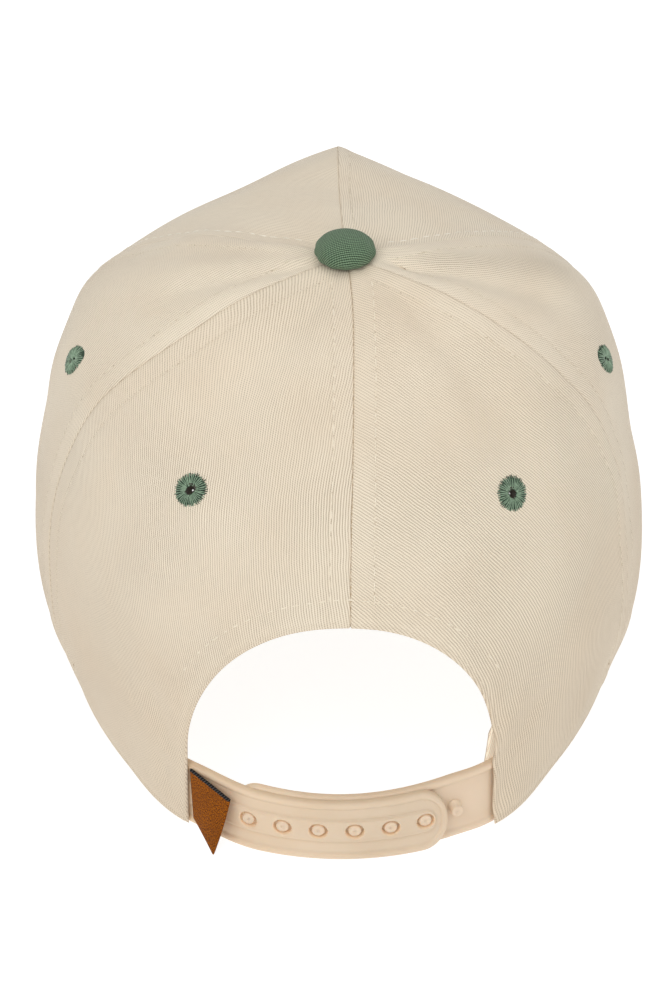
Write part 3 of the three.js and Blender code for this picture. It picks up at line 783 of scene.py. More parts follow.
def seam_relief(distance, run, seed, press):
    """Depth beside a seam: rolled edge, raised allowance, row of stitches and puckers."""
    roll, wide, high = press
    total = roll * bump(distance, 0, SEAM_ROLL_WIDTH)
    if wide:
        total -= high * (1 - ease(distance, wide + 0.1, wide + 0.9))
        total += STITCH_GROOVE * bump(distance, wide, STITCH_GROOVE_WIDTH)
    spots = np.stack([run, 0 * run], axis=1)
    puckers = ripples(spots, PUCKER_LENGTH, seed) * PUCKER_DEPTH
    return total + puckers * bump(distance, wide, PUCKER_REACH)


def edge_round(distance, radius):
    """How much a turned edge thins on each side towards its rim."""
    reach = np.clip(radius - distance, 0, radius)
    return radius - np.sqrt(radius**2 - reach**2)


def arch_line():
    """Azimuths and levels along the arched opening, from the wearer's left foot to the right one."""
    turn = np.linspace(0, math.pi, 241)
    x = ARCH_CENTRE + ARCH_HALF_WIDTH * np.cos(turn)
    z = ARCH_SPRING + ARCH_RISE * np.sin(turn)
    foot = np.linspace(-1, ARCH_SPRING, 40, endpoint=False)
    x = np.concatenate([np.full(40, x[0]), x, np.full(40, x[-1])])
    z = np.concatenate([foot, z, foot[::-1]])
    # a rough guess, then steps towards the azimuths and levels whose points are at x and z
    azimuth = 180 - np.degrees(np.arcsin(x / 95))
    level = z / 150
    step = 0.01
    for _ in range(15):
        here = crown(azimuth, level)[:, [0, 2]]
        by_azimuth = (crown(azimuth + step, level)[:, [0, 2]] - here) / step
        by_level = (crown(azimuth, level + step)[:, [0, 2]] - here) / step
        miss = np.stack([x, z], axis=1) - here
        area = by_azimuth[:, 0] * by_level[:, 1] - by_azimuth[:, 1] * by_level[:, 0]
        azimuth += (miss[:, 0] * by_level[:, 1] - miss[:, 1] * by_level[:, 0]) / area
        level += (by_azimuth[:, 0] * miss[:, 1] - by_azimuth[:, 1] * miss[:, 0]) / area
    return azimuth, level


ARCH = arch_line()


class Panel:
    """Crown panel laid flat: x across it from its middle line and y up it from the rim."""

    def __init__(self, name, start_seam, end_seam, rib_turn, rim_turn, turn_from):
        self.name = name
        self.seams = (start_seam, end_seam)
        self.turn = math.radians(rib_turn)
        self.rim_turn = rim_turn
        self.turn_from = turn_from
        self.press = SEAM_PRESS[name]
        self.levels = np.linspace(0, PANEL_TOP_LEVEL, 140)
        start, end = self.seam_azimuths(self.levels)
        share = np.linspace(0, 1, 25)[:, None]
        rings = crown(start + (end - start) * share, self.levels)
        self.width = np.linalg.norm(np.diff(rings, axis=0), axis=2).sum(axis=0)
        steps = np.linalg.norm(np.diff(rings[12], axis=0), axis=1)
        self.climb = np.concatenate([[0], np.cumsum(steps)])
        self.arch = None
        if name.startswith("back"):
            self.arch = self.flat(*ARCH)
        self.edge = self.outline()

    def seam_azimuths(self, level):
        return [curve(LEVELS, SEAMS[seam], level) for seam in self.seams]

    def half_width(self, y):
        return np.interp(y, self.climb, self.width) / 2

    def flat(self, azimuth, level):
        """Flat spots of azimuths and levels."""
        start, end = self.seam_azimuths(level)
        width = np.interp(level, self.levels, self.width)
        climb = np.interp(level, self.levels, self.climb)
        below = np.minimum(level, 0) * MM_PER_LEVEL
        return np.stack([((azimuth - start) / (end - start) - 0.5) * width, climb + below], axis=1)

    def bent(self, spots):
        """Azimuths and levels of flat spots."""
        level = np.interp(spots[:, 1], self.climb, self.levels)
        start, end = self.seam_azimuths(level)
        share = spots[:, 0] / np.interp(level, self.levels, self.width) + 0.5
        return start + (end - start) * share, level

    def depth(self, spots):
        """Small shape of the cloth's outer face."""
        half = self.half_width(spots[:, 1])
        azimuth, level = self.bent(spots)
        run = level * MM_PER_LEVEL
        # both panels at a seam share the seed of its puckers; the ridge is named twice
        seeds = [list(SEAMS).index(seam) % 6 + 11 for seam in self.seams]
        total = seam_relief(half + spots[:, 0], run, seeds[0], self.press[0])
        total += seam_relief(half - spots[:, 0], run, seeds[1], self.press[1])
        # soft unevenness that runs on over the seams
        turn = np.radians(azimuth)
        for around, seed in ((90 * np.sin(turn), 5), (90 * np.cos(turn), 6)):
            total += 0.28 * ripples(np.stack([around, run], axis=1), 34, seed)
        total += top_dip(level)
        if self.arch is not None:
            for crease in FOOT_CREASES:
                total += along_fold(azimuth, level, crease)
            # the hem round the arch: a pressed line at its edge, and a raised band that ends at the
            # groove of its stitches
            free = self.edge_distance(spots)
            total += 0.26 * bump(free, 1.5, 0.3) + 0.24 * bump(free, ARCH_STITCH, 0.45)
            total += -0.14 * (1 - ease(free, ARCH_STITCH, ARCH_STITCH + 1.2))
            total += 0.16 * ripples(spots, 11, 9) * bump(free, ARCH_STITCH, 5)
        return total

    def pressed(self, spots):
        """How much the ribs are flattened; where it is negative, they stand out."""
        half = self.half_width(spots[:, 1])
        azimuth, level = self.bent(spots)
        total = np.zeros(len(spots))
        # over the seam allowances that stand up, near the button and the rim, and at the hem
        for side, (_, wide, high) in zip((1, -1), self.press):
            if high > 0.1:
                total += 0.35 * (1 - ease(half + side * spots[:, 0], wide - 0.4, wide + 0.6))
        total += 0.6 * ease(level, 0.55, 0.75) + 0.15 * (1 - ease(level, 0.1, 0.3))
        total += 0.25 * (ripples(spots, 30, 41) + 0.5)
        if self.arch is not None:
            total += 0.45 * (1 - ease(self.edge_distance(spots), 2.0, 3.2))
        if self.name.startswith("front"):
            total += 0.4 * ease(level, 0.45, 0.6)
        if self.name == "side_panel_right":
            total += 0.4 - 1.8 * along_fold(azimuth, level, RIBBED_SPOT)
        return np.clip(total, -0.8, 1)

    def edge_distance(self, spots):
        """Distance to the rim or the arch, whichever is nearer."""
        free = spots[:, 1].copy()
        if self.arch is not None:
            free = np.minimum(np.maximum(free, 0), distance_to(spots, self.arch))
        return np.maximum(free, 0)

    def darkening(self, spots):
        """How much painted shade darkens the cloth: at the seams and in a line 6 mm from them, at the rim
        and the arch's edge, low down, and high up on the back panels.
        """
        near_seam = self.half_width(spots[:, 1]) - np.abs(spots[:, 0])
        _, level = self.bent(spots)
        total = 0.3 * bump(near_seam, 0, 0.6) + 0.4 * bump(self.edge_distance(spots), 0, 1.2)
        total += 0.2 * bump(near_seam, 6, 0.4)
        total += 0.85 * (1 - ease(level, 0.1, 0.5))
        if self.arch is not None:
            total += 0.35 * ease(level, 0.5, 0.7)
        return total

    def face(self, spots):
        """Points of the outer face."""
        azimuth, level = self.bent(spots)
        depth = self.depth(spots) + edge_round(self.edge_distance(spots), EDGE_ROUND)
        return crown_point(azimuth, level, depth)

    def back(self, spots):
        """Points of the inner face, which is plain away from the free edges."""
        azimuth, level = self.bent(spots)
        free = self.edge_distance(spots)
        depth = CLOTH - edge_round(free, EDGE_ROUND) + self.depth(spots) * (1 - ease(free, 0.5, 4))
        return crown_point(azimuth, level, depth + top_dip(level))

    def facing(self, spots):
        return crown_normal(*self.bent(spots))

    def cloth(self, spots):
        """Coordinates of the woven cloth, across and along its ribs."""
        aside = spots[:, 0]
        down = self.climb[-1] - spots[:, 1]
        width = np.interp(spots[:, 1], self.climb, self.width)
        widening = np.gradient(self.width, self.climb[-1] - self.climb)
        angle = aside / width * np.interp(spots[:, 1], self.climb, widening)
        safe = np.where(np.abs(angle) < 1e-5, 1e-5, angle)
        x = aside * np.sin(safe) / safe
        y = -down + aside * (1 - np.cos(safe)) / safe
        number = [panel[0] for panel in PANELS].index(self.name)
        across = x * math.cos(self.turn) - y * math.sin(self.turn)
        low = down - self.turn_from
        across -= self.rim_turn * (low + np.sqrt(low**2 + RIM_TURN_SOFTNESS**2)) / 2
        along = x * math.sin(self.turn) + y * math.cos(self.turn)
        return np.stack([across + PANEL_PATCH * number, along, 0 * x], axis=1)

    def seam_line(self, side, inset, spacing=EDGE_SPACING):
        """Flat line beside the start seam (side -1) or the end seam (side 1)."""
        y = np.linspace(0, self.climb[-1], 300)
        half = self.half_width(y)
        line = np.stack([side * (half - inset), y], axis=1)
        line = line[half - inset > 0.2]
        return resampled(line, spacing)

    def outline(self):
        """Anticlockwise outline."""
        left = self.seam_line(-1, SEAM_GAP)
        right = self.seam_line(1, SEAM_GAP)
        top = resampled(np.stack([right[-1], left[-1]]), EDGE_SPACING)
        if self.arch is None:
            bottom = resampled(np.stack([left[0], right[0]]), EDGE_SPACING)
            return np.concatenate([bottom[:-1], right[:-1], top[:-1], left[:0:-1]])
        arch = self.arch
        half = self.half_width(arch[:, 1]) - SEAM_GAP
        part = arch[(np.abs(arch[:, 0]) < half) & (arch[:, 1] > 0.05)]
        part = resampled(part, 0.9)
        if self.seams[1] == "centre_back":
            # the left panel: rim, then up the arch to the centre seam
            bottom = resampled(np.array([left[0], [part[0][0], 0]]), EDGE_SPACING)
            right = right[right[:, 1] > part[-1][1] + 0.3]
            return np.concatenate([bottom, part, right[:-1], top[:-1], left[:0:-1]])
        bottom = resampled(np.array([[part[-1][0], 0], right[0]]), EDGE_SPACING)
        left = left[left[:, 1] > part[0][1] + 0.3]
        return np.concatenate([part, bottom[:-1], right[:-1], top[:-1], left[::-1]])


def inner_guides(loop, distances, spacing):
    """Lines inside a loop that keep at each distance from it."""
    guides = []
    dense = resampled(closed(loop), 0.5)[:-1]
    for distance in distances:
        moved = shrunk(dense, distance)
        good = inside(moved, loop) & (distance_to(moved, closed(loop)) > distance * 0.93)
        pieces = np.split(np.arange(len(moved)), np.where(~good)[0])
        for piece in pieces:
            piece = piece[good[piece]]
            if len(piece) > 6:
                guides.append(resampled(moved[piece], spacing))
    return guides


def panel_solid(panel):
    """Wall of a crown panel, with the hole of its eyelet."""
    outline = panel.edge
    loops = [outline]
    guides = inner_guides(outline, [0.3, 0.8, 1.5, 2.3], EDGE_SPACING)
    for side, (_, wide, _) in zip((-1, 1), panel.press):
        for inset in (wide - 0.6, wide, wide + 0.6, wide + 1.5):
            line = panel.seam_line(side, max(inset, 3))
            keep = inside(line, outline) & (distance_to(line, closed(outline)) > 2.6)
            if keep.sum() > 3:
                guides.append(line[keep])
    for _, owner, azimuth, level in EYELETS:
        if owner == panel.name:
            middle = panel.flat(np.array([azimuth]), np.array([level]))[0]
            loops.append(circle(middle, EYELET_HOLE + 0.2, 20))
            guides.append(closed(circle(middle, EYELET_HOLE + 1.2, 24)))
    spots, triangles = triangulate(loops, guides, 1.5)
    cloth = panel.cloth(spots)
    darkening = panel.darkening(spots)
    pressed = panel.pressed(spots)
    # the inner face shows another patch of the cloth
    attributes = {"cloth": (cloth, cloth + [0, 0, 40]), "darkening": (darkening, darkening)}
    attributes["pressed"] = (pressed, pressed)
    return wall_solid(panel.name, spots, triangles, panel.face(spots), panel.back(spots), attributes)


panels = {row[0]: Panel(*row) for row in PANELS}
for name, panel in panels.items():
    finish_piece(panel_solid(panel), cream_twill, name)

# Stitches beside the seams and round the arch
plain_rows, centre_rows, front_rows = [], [], []
for name, panel in panels.items():
    for side, seam, (_, wide, _) in zip((-1, 1), panel.seams, panel.press):
        if not wide:
            continue
        line = panel.seam_line(side, wide, 0.8)
        _, level = panel.bent(line)
        keep = inside(line, panel.edge) & (level > 0.01) & (level < DIP_LEVEL)
        if panel.arch is not None:
            keep &= distance_to(line, panel.arch) > ARCH_STITCH
        line = line[keep]
        row = stitch_row(panel.face(line), panel.facing(line), 3.7)
        if name.startswith("front") and wide > 4:
            front_rows.append(row)
        else:
            (centre_rows if seam == "centre_back" else plain_rows).append(row)
sew("seam_stitches", plain_rows, 2.9, 0.13, 0.24, 0.1, 3, cream_thread)
sew("centre_back_stitches", centre_rows, 2.9, 0.14, 0.3, 0.1, 3, seam_thread)
# short pieces of thread between the stitches, where the thread goes into the cloth, coloured dark as the
# painted shade of the needle holes
sunk_rows = [between(row) for row in plain_rows + centre_rows]
sew("seam_needle_holes", sunk_rows, 0.55, 0.11, 0.18, 0.35, 12, hole_shade_thread)
sew("front_seam_stitches", front_rows, 2.8, 0.17, 0.42, 0.16, 3, lit_cream_thread)


def beside_arch(panel, offset, pitch, lowest=2):
    """Row of stitches that keeps a distance from the arch's edge."""
    tangent = unit(np.gradient(panel.arch, axis=0))
    line = panel.arch + offset * np.stack([-tangent[:, 1], tangent[:, 0]], axis=1)
    keep = inside(line, panel.edge) & (line[:, 1] > lowest)
    line = line[keep & (distance_to(line, panel.arch) > offset * 0.95)]
    return stitch_row(panel.face(line), panel.facing(line), pitch)


backs = [panels["back_panel_left"], panels["back_panel_right"]]
arch_rows = [beside_arch(panel, ARCH_STITCH, 3.5, 45) for panel in backs]
sew("arch_stitches", arch_rows, 2.8, 0.17, 0.42, 0.1, 4, seam_thread)
# short dark pieces of thread between the arch stitches: painted shade of the needle holes
sunk_rows = [between(row) for row in arch_rows]
sew("arch_needle_holes", sunk_rows, 0.5, 0.11, 0.18, 0.35, 14, hole_shade_thread)
edge_rows = [beside_arch(panel, 1.45, 1.9) for panel in backs]
sew("arch_edge_stitches", edge_rows, 0.8, 0.1, 0.12, 0.3, 7, cream_thread)

centre = panels["back_panel_left"]
line = centre.seam_line(1, 0.0, 0.5)
_, level = centre.bent(line)
above_arch = (distance_to(line, centre.arch) > 1) & (line[:, 1] > centre.arch[:, 1].max())
line = line[above_arch & (level < DIP_LEVEL)]
row = stitch_row(centre.face(line) + 0.06 * centre.facing(line), centre.facing(line), 1.9)
sew("centre_seam_stitches", [row], 1.1, 0.15, 0.22, 0.3, 8, tan_thread)


# Eyelets
def ring_mesh(profile, count):
    """Closed ring turned from a closed profile of radius and height pairs."""
    turn = np.linspace(0, math.tau, count, endpoint=False)
    points = [[r * math.cos(t), r * math.sin(t), z] for t in turn for r, z in profile]
    size = len(profile)
    faces = []
    for i in range(count):
        here, after = i * size, (i + 1) % count * size
        for k in range(size):
            m = (k + 1) % size
            faces.append((here + k, after + k, after + m, here + m))
    return np.array(points), faces


def placed(points, origin, normal):
    """Points of a shape whose height runs along a direction."""
    side = unit(np.cross([0, 0, 1], normal))
    up = np.cross(normal, side)
    return origin + points[:, :1] * side + points[:, 1:2] * up + points[:, 2:] * normal


def join(first, others):
    """One object of several, keeping the first one's name."""
    with bpy.context.temp_override(active_object=first, selected_editable_objects=[first, *others]):
        bpy.ops.object.join()
    return first


# number of threads, how much further out they reach, radius, lift and thread
EYELET_THREADS = [
    [54, 0.15, 0.15, 0.08, shade_green_thread],
    [38, -0.1, 0.13, 0.19, green_thread],
]
THREAD_BOW = 0.55
# radius and height of the funnel that the stitches pull the hole's edge in to
EYELET_FUNNEL = [
    [1.8, 0.12],
    [1.5, 0],
    [1.1, -0.5],
    [0.45, -1.1],
    [0.22, -1.5],
    [0.9, -1.62],
    [2.6, -1.55],
    [2.6, -1.32],
    [1.86, -1.3],
    [1.86, 0.05],
]
# inner and outer reach of the dark bed under the threads, painted shade that shows between them, and how
# far its faces lie over and under the cloth
BED_REACHES = (1.95, 4)
BED_OVER = 0.06
BED_UNDER = 0.2
BED_POINTS = 56


def oval_factor(turn, oval, leaning):
    """How much longer or shorter an oval is that way."""
    return 1 + oval * np.cos(2 * (turn - math.radians(leaning)))


def eyelet_lining(name, origin, normal):
    """Dark funnel inside the hole."""
    points, faces = ring_mesh(EYELET_FUNNEL, 28)
    lining = make_object(name + "_lining", placed(points, origin, normal), faces)
    lining.data.materials.append(shaded_thread)
    return lining


def eyelet_shade_bed(name, panel, middle, normal, oval, leaning):
    """Dark oval ring under the threads: painted shade that shows in the gaps between them."""
    turn = np.linspace(0, math.tau, BED_POINTS, endpoint=False)
    over, under = [], []
    for reach in BED_REACHES:
        spots = middle + (reach * oval_factor(turn, oval, leaning))[:, None] * directions(turn)
        over.append(panel.face(spots) + BED_OVER * normal)
        under.append(panel.face(spots) - BED_UNDER * normal)
    points = np.stack([over[0], over[1], under[1], under[0]], axis=1).reshape(-1, 3)
    faces = []
    for k in range(BED_POINTS):
        a, b = 4 * k, 4 * ((k + 1) % BED_POINTS)
        faces += [(a + m, a + (m + 1) % 4, b + (m + 1) % 4, b + m) for m in range(4)]
    bed = make_object(name + "_bed", points, faces)
    bed.data.materials.append(shade_bed_thread)
    return bed


def eyelet_layers(name, panel, middle, normal, seed):
    """Satin threads that run from the hole outwards, one object for each layer."""
    inner, oval, leaning = EYELET_SHAPES[name]
    random = np.random.default_rng(seed)
    layers = []
    for count, further, radius, lift, thread in EYELET_THREADS:
        turn = np.linspace(0, math.tau, count, endpoint=False) + random.uniform(-0.03, 0.03, count)
        outer = EYELET_RADIUS + further + random.uniform(-0.45, 0.4, count)
        at = (outer * oval_factor(turn, oval, leaning) + inner) / 2
        spots = middle + at[:, None] * directions(turn)
        ahead = middle + (at + 0.3)[:, None] * directions(turn)
        points = panel.face(spots)
        row = (points + lift * normal, unit(panel.face(ahead) - points), panel.facing(spots))
        length = EYELET_RADIUS + further - inner
        layers.append(lay_stitches(name, [row], length, radius, THREAD_BOW, 0.08, seed, thread))
    return layers


for name, owner, azimuth, level in EYELETS:
    panel = panels[owner]
    _, oval, leaning = EYELET_SHAPES[name]
    middle = panel.flat(np.array([azimuth]), np.array([level]))
    origin = panel.face(middle)[0]
    normal = panel.facing(middle)[0]
    lining = eyelet_lining(name, origin, normal)
    bed = eyelet_shade_bed(name, panel, middle, normal, oval, leaning)
    satin, *others = eyelet_layers(name, panel, middle, normal, int(azimuth))
    join(satin, [*others, lining, bed])
    finish_piece(satin, None, name)


# Button
BUTTON_RADIUS = 8.1
BUTTON_WIDEST = 1.1
BUTTON_DOME = 4.5
BUTTON_UNDER = 3.5
BUTTON_PUCKER = 0.14
BUTTON_RIB_TURN = 78
# radius and height of the washer and the shank under the button
BUTTON_SHANK = [
    [0.01, -4.2],
    [7.5, -4.2],
    [7.8, -3.9],
    [7.5, -3.6],
    [1.6, -3.4],
    [1.5, 0.2],
    [0.01, 0.2],
]
button_middle = np.array([LEAN[5], 1.5, BUTTON_POINT_HEIGHT + 0.6])
rings, columns = 46, 120
slant = np.linspace(0, math.pi * 0.66, rings + 1)
radius = BUTTON_RADIUS * np.where(slant < math.pi / 2, np.abs(np.sin(slant)) ** 0.9, np.sin(slant))
height = BUTTON_WIDEST + np.cos(slant) * np.where(slant < math.pi / 2, BUTTON_DOME, BUTTON_UNDER)
run = np.concatenate([[0], np.cumsum(np.hypot(np.diff(radius), np.diff(height)))])
turn = np.linspace(0, math.tau, columns, endpoint=False)
points, cloth, faces = [[0, 0, height[0]]], [[0, 0, 0]], []
for k in range(1, rings + 1):
    pucker = BUTTON_PUCKER * np.sin(turn * 13 + 0.8 * np.sin(turn * 3)) * ease(run[k], 6.5, 10.5)
    reach = radius[k] + pucker
    points += np.stack([reach * np.cos(turn), reach * np.sin(turn), 0 * turn + height[k]], axis=1).tolist()
    cloth += np.stack([run[k] * np.cos(turn), run[k] * np.sin(turn), 0 * turn], axis=1).tolist()
    a, b = 1 + (k - 2) * columns, 1 + (k - 1) * columns
    for i in range(columns):
        j = (i + 1) % columns
        faces.append((0, b + i, b + j) if k == 1 else (a + i, b + i, b + j, a + j))
last = 1 + (rings - 1) * columns
points.append([0, 0, height[-1]])
cloth.append([0, 0, 0])
faces += [(last + (i + 1) % columns, last + i, len(points) - 1) for i in range(columns)]
cloth = turned(np.array(cloth, float), BUTTON_RIB_TURN) + [BUTTON_PATCH, 0, 0]
attributes = {"cloth": cloth, "darkening": np.zeros(len(points))}
button = make_object("button", np.array(points) + button_middle, faces, attributes)
points, faces = ring_mesh(BUTTON_SHANK, 48)
shank = make_object("button_shank", points + button_middle, faces)
join(button, [shank])
finish_piece(button, button_twill, "button")


# Tapes inside the seams
TAPE_GAP = 0.5
# how much further in each tape lies than the one before it, because they cross under the button
TAPE_STEP = 0.04
# places across a tape, its thickness at its sides, and how much thicker it is at each place
TAPE_ACROSS = np.concatenate([[-6.5, -6.42, -6.2], np.linspace(-5.8, 5.8, 13), [6.2, 6.42, 6.5]])
TAPE_SIDE = 0.1
TAPE_SWELL = np.array([0, 0.2, 0.28] + [0.32] * 13 + [0.28, 0.2, 0])


def seam_tape(number, seam):
    """Tape behind a seam, from the sweatband or the arch up to the button."""
    start_level = 0.205 if seam != "centre_back" else 0.5
    levels = np.linspace(start_level, 0.955, 90)
    middle = curve(LEVELS, SEAMS[seam], levels)
    per_degree = np.linalg.norm(crown(middle + 0.5, levels) - crown(middle - 0.5, levels), axis=1)
    azimuth = middle[:, None] + TAPE_ACROSS[None, :] / per_degree[:, None]
    level = np.broadcast_to(levels[:, None], azimuth.shape)
    across = np.tile(TAPE_ACROSS, len(levels))
    run = level.ravel() * MM_PER_LEVEL
    wavy = 0.1 * ripples(np.stack([run, across], axis=1), 8, 30 + number).reshape(azimuth.shape)
    base = CLOTH + TAPE_GAP + TAPE_STEP * number + top_dip(level)
    outer = crown_point(azimuth, level, base)
    inner = crown_point(azimuth, level, base + TAPE_SIDE + wavy + TAPE_SWELL)
    patch = np.stack([across + TAPE_PATCH + TAPE_PATCH_STEP * number, run, 0 * run], axis=1)
    attributes = {"cloth": np.concatenate([patch, patch]), "darkening": np.zeros(2 * len(patch))}
    return sheet_solid("seam_tape_" + seam, outer, inner, attributes)


for number, seam in enumerate(list(SEAMS)[:6]):
    finish_piece(seam_tape(number, seam), band_twill)


# Sweatband
BAND_MM_PER_DEGREE = 1.55
BAND_MM_PER_LEVEL = 150
BAND_THICKNESS = 1.2
BAND_GAP = 0.3
# depth of its ends, inside the strap
BAND_END_DEPTH = 4.2
# heights of its two rows of stitches
BAND_ROWS = (5.5, 27.5)
BAND_RIB_TURN = 28


def band_depth(azimuth):
    """Depth of the outer face, close to the cloth but for the ends."""
    near = CLOTH + BAND_GAP
    return near + (BAND_END_DEPTH - near) * ease(np.abs(azimuth), 128, 143)


def band_loop():
    """Flat outline of the band, whose right end is cut at a slant."""
    low, cut_height, high = np.array([0.02, 0.165, 0.2]) * BAND_MM_PER_LEVEL
    low_right, cut, high_right, left = np.array([-154.6, -150.4, -147, 149]) * BAND_MM_PER_DEGREE
    corners = [[low_right, low], [left, low], [left, high], [high_right, high], [cut, cut_height]]
    return resampled(closed(np.array(corners)), 1.5)[:-1]


band_edge = band_loop()


def band_face(spots, side):
    """Points of the outer or the inner face."""
    azimuth = spots[:, 0] / BAND_MM_PER_DEGREE
    level = spots[:, 1] / BAND_MM_PER_LEVEL
    thin = edge_round(distance_to(spots, closed(band_edge)), 0.5)
    depth = band_depth(azimuth) + 0.18 * ripples(spots, 17, 21)
    if side == "outer":
        return crown_point(azimuth, level, depth + thin)
    sunk = sum(0.2 * bump(spots[:, 1], height, 0.5) for height in BAND_ROWS)
    return crown_point(azimuth, level, depth + BAND_THICKNESS - thin - sunk)


guides = inner_guides(band_edge, [0.25, 0.7, 1.4], 2.0)
spots, triangles = triangulate([band_edge], guides, 2.4)
cloth = turned(np.concatenate([spots, np.zeros((len(spots), 1))], axis=1), BAND_RIB_TURN)
cloth += [BAND_PATCH, 0, 0]
# darker along its edges
darkening = 0.3 * bump(distance_to(spots, closed(band_edge)), 0, 1.5)
# painted light: the end that shows beside the arch glows a little
painted_glow = ease(-spots[:, 0] / BAND_MM_PER_DEGREE, 147, 150)
attributes = {"cloth": (cloth, cloth + [0, 0, 60]), "darkening": (darkening, darkening), "painted_glow": (painted_glow, 0 * painted_glow)}
outer, inner = band_face(spots, "outer"), band_face(spots, "inner")
band = wall_solid("sweatband", spots, triangles, outer, inner, attributes)
finish_piece(band, band_twill, "sweatband")

rows = []
for height in BAND_ROWS:
    ends = np.array([[-146 * BAND_MM_PER_DEGREE, height], [147 * BAND_MM_PER_DEGREE, height]])
    line = resampled(ends, 1.0)
    facing = -crown_normal(line[:, 0] / BAND_MM_PER_DEGREE, line[:, 1] / BAND_MM_PER_LEVEL)
    rows.append(stitch_row(band_face(line, "inner"), facing, 3.4))
sew("sweatband_stitches", rows, 2.5, 0.17, 0.3, 0.08, 5, cream_thread)


# Brim
BRIM_HALF_ANGLE = 62
BRIM_THICKNESS = 3
BRIM_HALF_WIDTH = 82
BRIM_BACK = 41.5
BRIM_BEND = 103.2
BRIM_SLOPE = 0.244
BRIM_FULLNESS = 0.8
BRIM_TUCK = 2.6
BRIM_CORNER_RISE = 40
# how far its upper face is over the crown's rim, and how far inside the outer face it is sewn on
BRIM_OVER_RIM = 1
BRIM_INSET = 0.7
BRIM_RIB_TURN = 62
# where the rows of stitches run, from the crown (0) to the free edge (1)
BRIM_ROWS = [0.1, 0.22, 0.34, 0.46, 0.58, 0.7, 0.82, 0.94]


def brim_sheet_height(x, y):
    """Height of the bent sheet that the brim is cut from."""
    drop = BRIM_BEND - np.sqrt(BRIM_BEND**2 - x**2)
    return CROWN[0, 6] + BRIM_OVER_RIM + (y + CROWN[0, 1]) * BRIM_SLOPE - drop


def brim_point(u, v):
    """Upper face: u runs across from -1 to 1 and v from the crown to the free edge."""
    azimuth = u * BRIM_HALF_ANGLE
    level = 0 * azimuth
    flat_normal = crown_normal(azimuth, level) * [1, 1, 0]
    seam = crown(azimuth, level) - BRIM_INSET * unit(flat_normal)
    turn = u * math.pi / 2
    across = np.abs(np.sin(turn))
    edge_x = np.sign(u) * (BRIM_HALF_WIDTH * across**BRIM_FULLNESS - BRIM_TUCK * across**20)
    edge_y = -BRIM_BACK - (BRIM_TIP - BRIM_BACK) * np.abs(np.cos(turn)) ** BRIM_FULLNESS
    x = seam[..., 0] + (edge_x - seam[..., 0]) * v
    y = seam[..., 1] + (edge_y - seam[..., 1]) * v
    lift = seam[..., 2] + BRIM_OVER_RIM - brim_sheet_height(seam[..., 0], seam[..., 1])
    corner = across**BRIM_CORNER_RISE
    lifted = (1 - v) ** 2 * (1 - corner) + corner
    return np.stack([x, y, brim_sheet_height(x, y) + lift * lifted], axis=-1)


def brim_down(point, v):
    """Direction from the upper face to the lower one."""
    lean = point[..., 0] / np.sqrt(BRIM_BEND**2 - point[..., 0] ** 2)
    down = np.stack([-lean * v, BRIM_SLOPE * v, -1 + 0 * v], axis=-1)
    return unit(down)


def brim_relief(u, v):
    """Rows of stitches press the cloth down between soft swells."""
    total = 0 * v
    for row in BRIM_ROWS:
        total += 0.22 * bump(v, row, 0.011)
    spots = np.stack([u.ravel() * 90, v.ravel() * 70], axis=1)
    return total + 0.08 * ripples(spots, 12, 41).reshape(v.shape)


u = np.linspace(-1, 1, 221)
v = np.concatenate([np.linspace(0, 0.975, 108), [0.985, 0.993]])
grid_u, grid_v = np.meshgrid(u, v, indexing="ij")
upper = brim_point(grid_u, grid_v)
down = brim_down(upper, grid_v)
relief = brim_relief(grid_u, grid_v)
edge_gap = np.linalg.norm(brim_point(grid_u, 1 + 0 * grid_v) - upper, axis=2)
thin = edge_round(edge_gap, 1.2)
top = upper + down * (relief + thin)[..., None]
bottom = upper + down * (BRIM_THICKNESS - relief - thin)[..., None]
edge = brim_point(u, 1 + 0 * u)
edge_down = brim_down(edge, 1 + 0 * u)
lip = np.stack([edge + edge_down * (BRIM_THICKNESS * share) for share in (0.42, 0.5, 0.58)], axis=1)
loop = np.concatenate([top, lip, bottom[:, ::-1]], axis=1)
columns, ring = loop.shape[:2]
faces = []
for i in range(columns - 1):
    here, after = i * ring, (i + 1) * ring
    for k in range(ring):
        m = (k + 1) % ring
        faces.append((here + k, here + m, after + m, after + k))
faces.append(tuple(range(ring - 1, -1, -1)))
faces.append(tuple((columns - 1) * ring + k for k in range(ring)))
points = loop.reshape(-1, 3)
attributes = {"cloth": turned(points * [1, 1, 0.02], BRIM_RIB_TURN) + [BRIM_PATCH, 0, 0]}
# the lip of the free edge is darker
attributes["darkening"] = np.tile(np.concatenate([0 * v, [0.5, 0.6, 0.5], 0 * v]), columns)
brim = make_object("brim", points, faces, attributes)
finish_piece(brim, green_twill, "brim")

rows = []
for share in BRIM_ROWS:
    u = np.linspace(-0.97, 0.97, 240)
    v = np.full(240, share)
    line = brim_point(u, v)
    down = brim_down(line, v)
    relief = brim_relief(u, v)[:, None]
    rows.append(stitch_row(line + down * relief, -down, 3.2))
    rows.append(stitch_row(line + down * (BRIM_THICKNESS - relief), down, 3.2))
sew("brim_stitches", rows, 2.5, 0.18, 0.3, 0.08, 6, brim_thread)


# Snap strap
STRAP_HEIGHT = 17
STRAP_THICKNESS = 1.6
STRAP_MM_PER_DEGREE = 1.66
STRAP_END = 8
# depth of the outer half under the cloth and at the middle of the rim
STRAP_UNDER_CLOTH = 2.1
STRAP_AT_RIM = 0.2
# gap between the halves, and how far the inner one comes out again beyond the outer one's end
STRAP_GAP = 0.9
STRAP_RETURN = 0.6
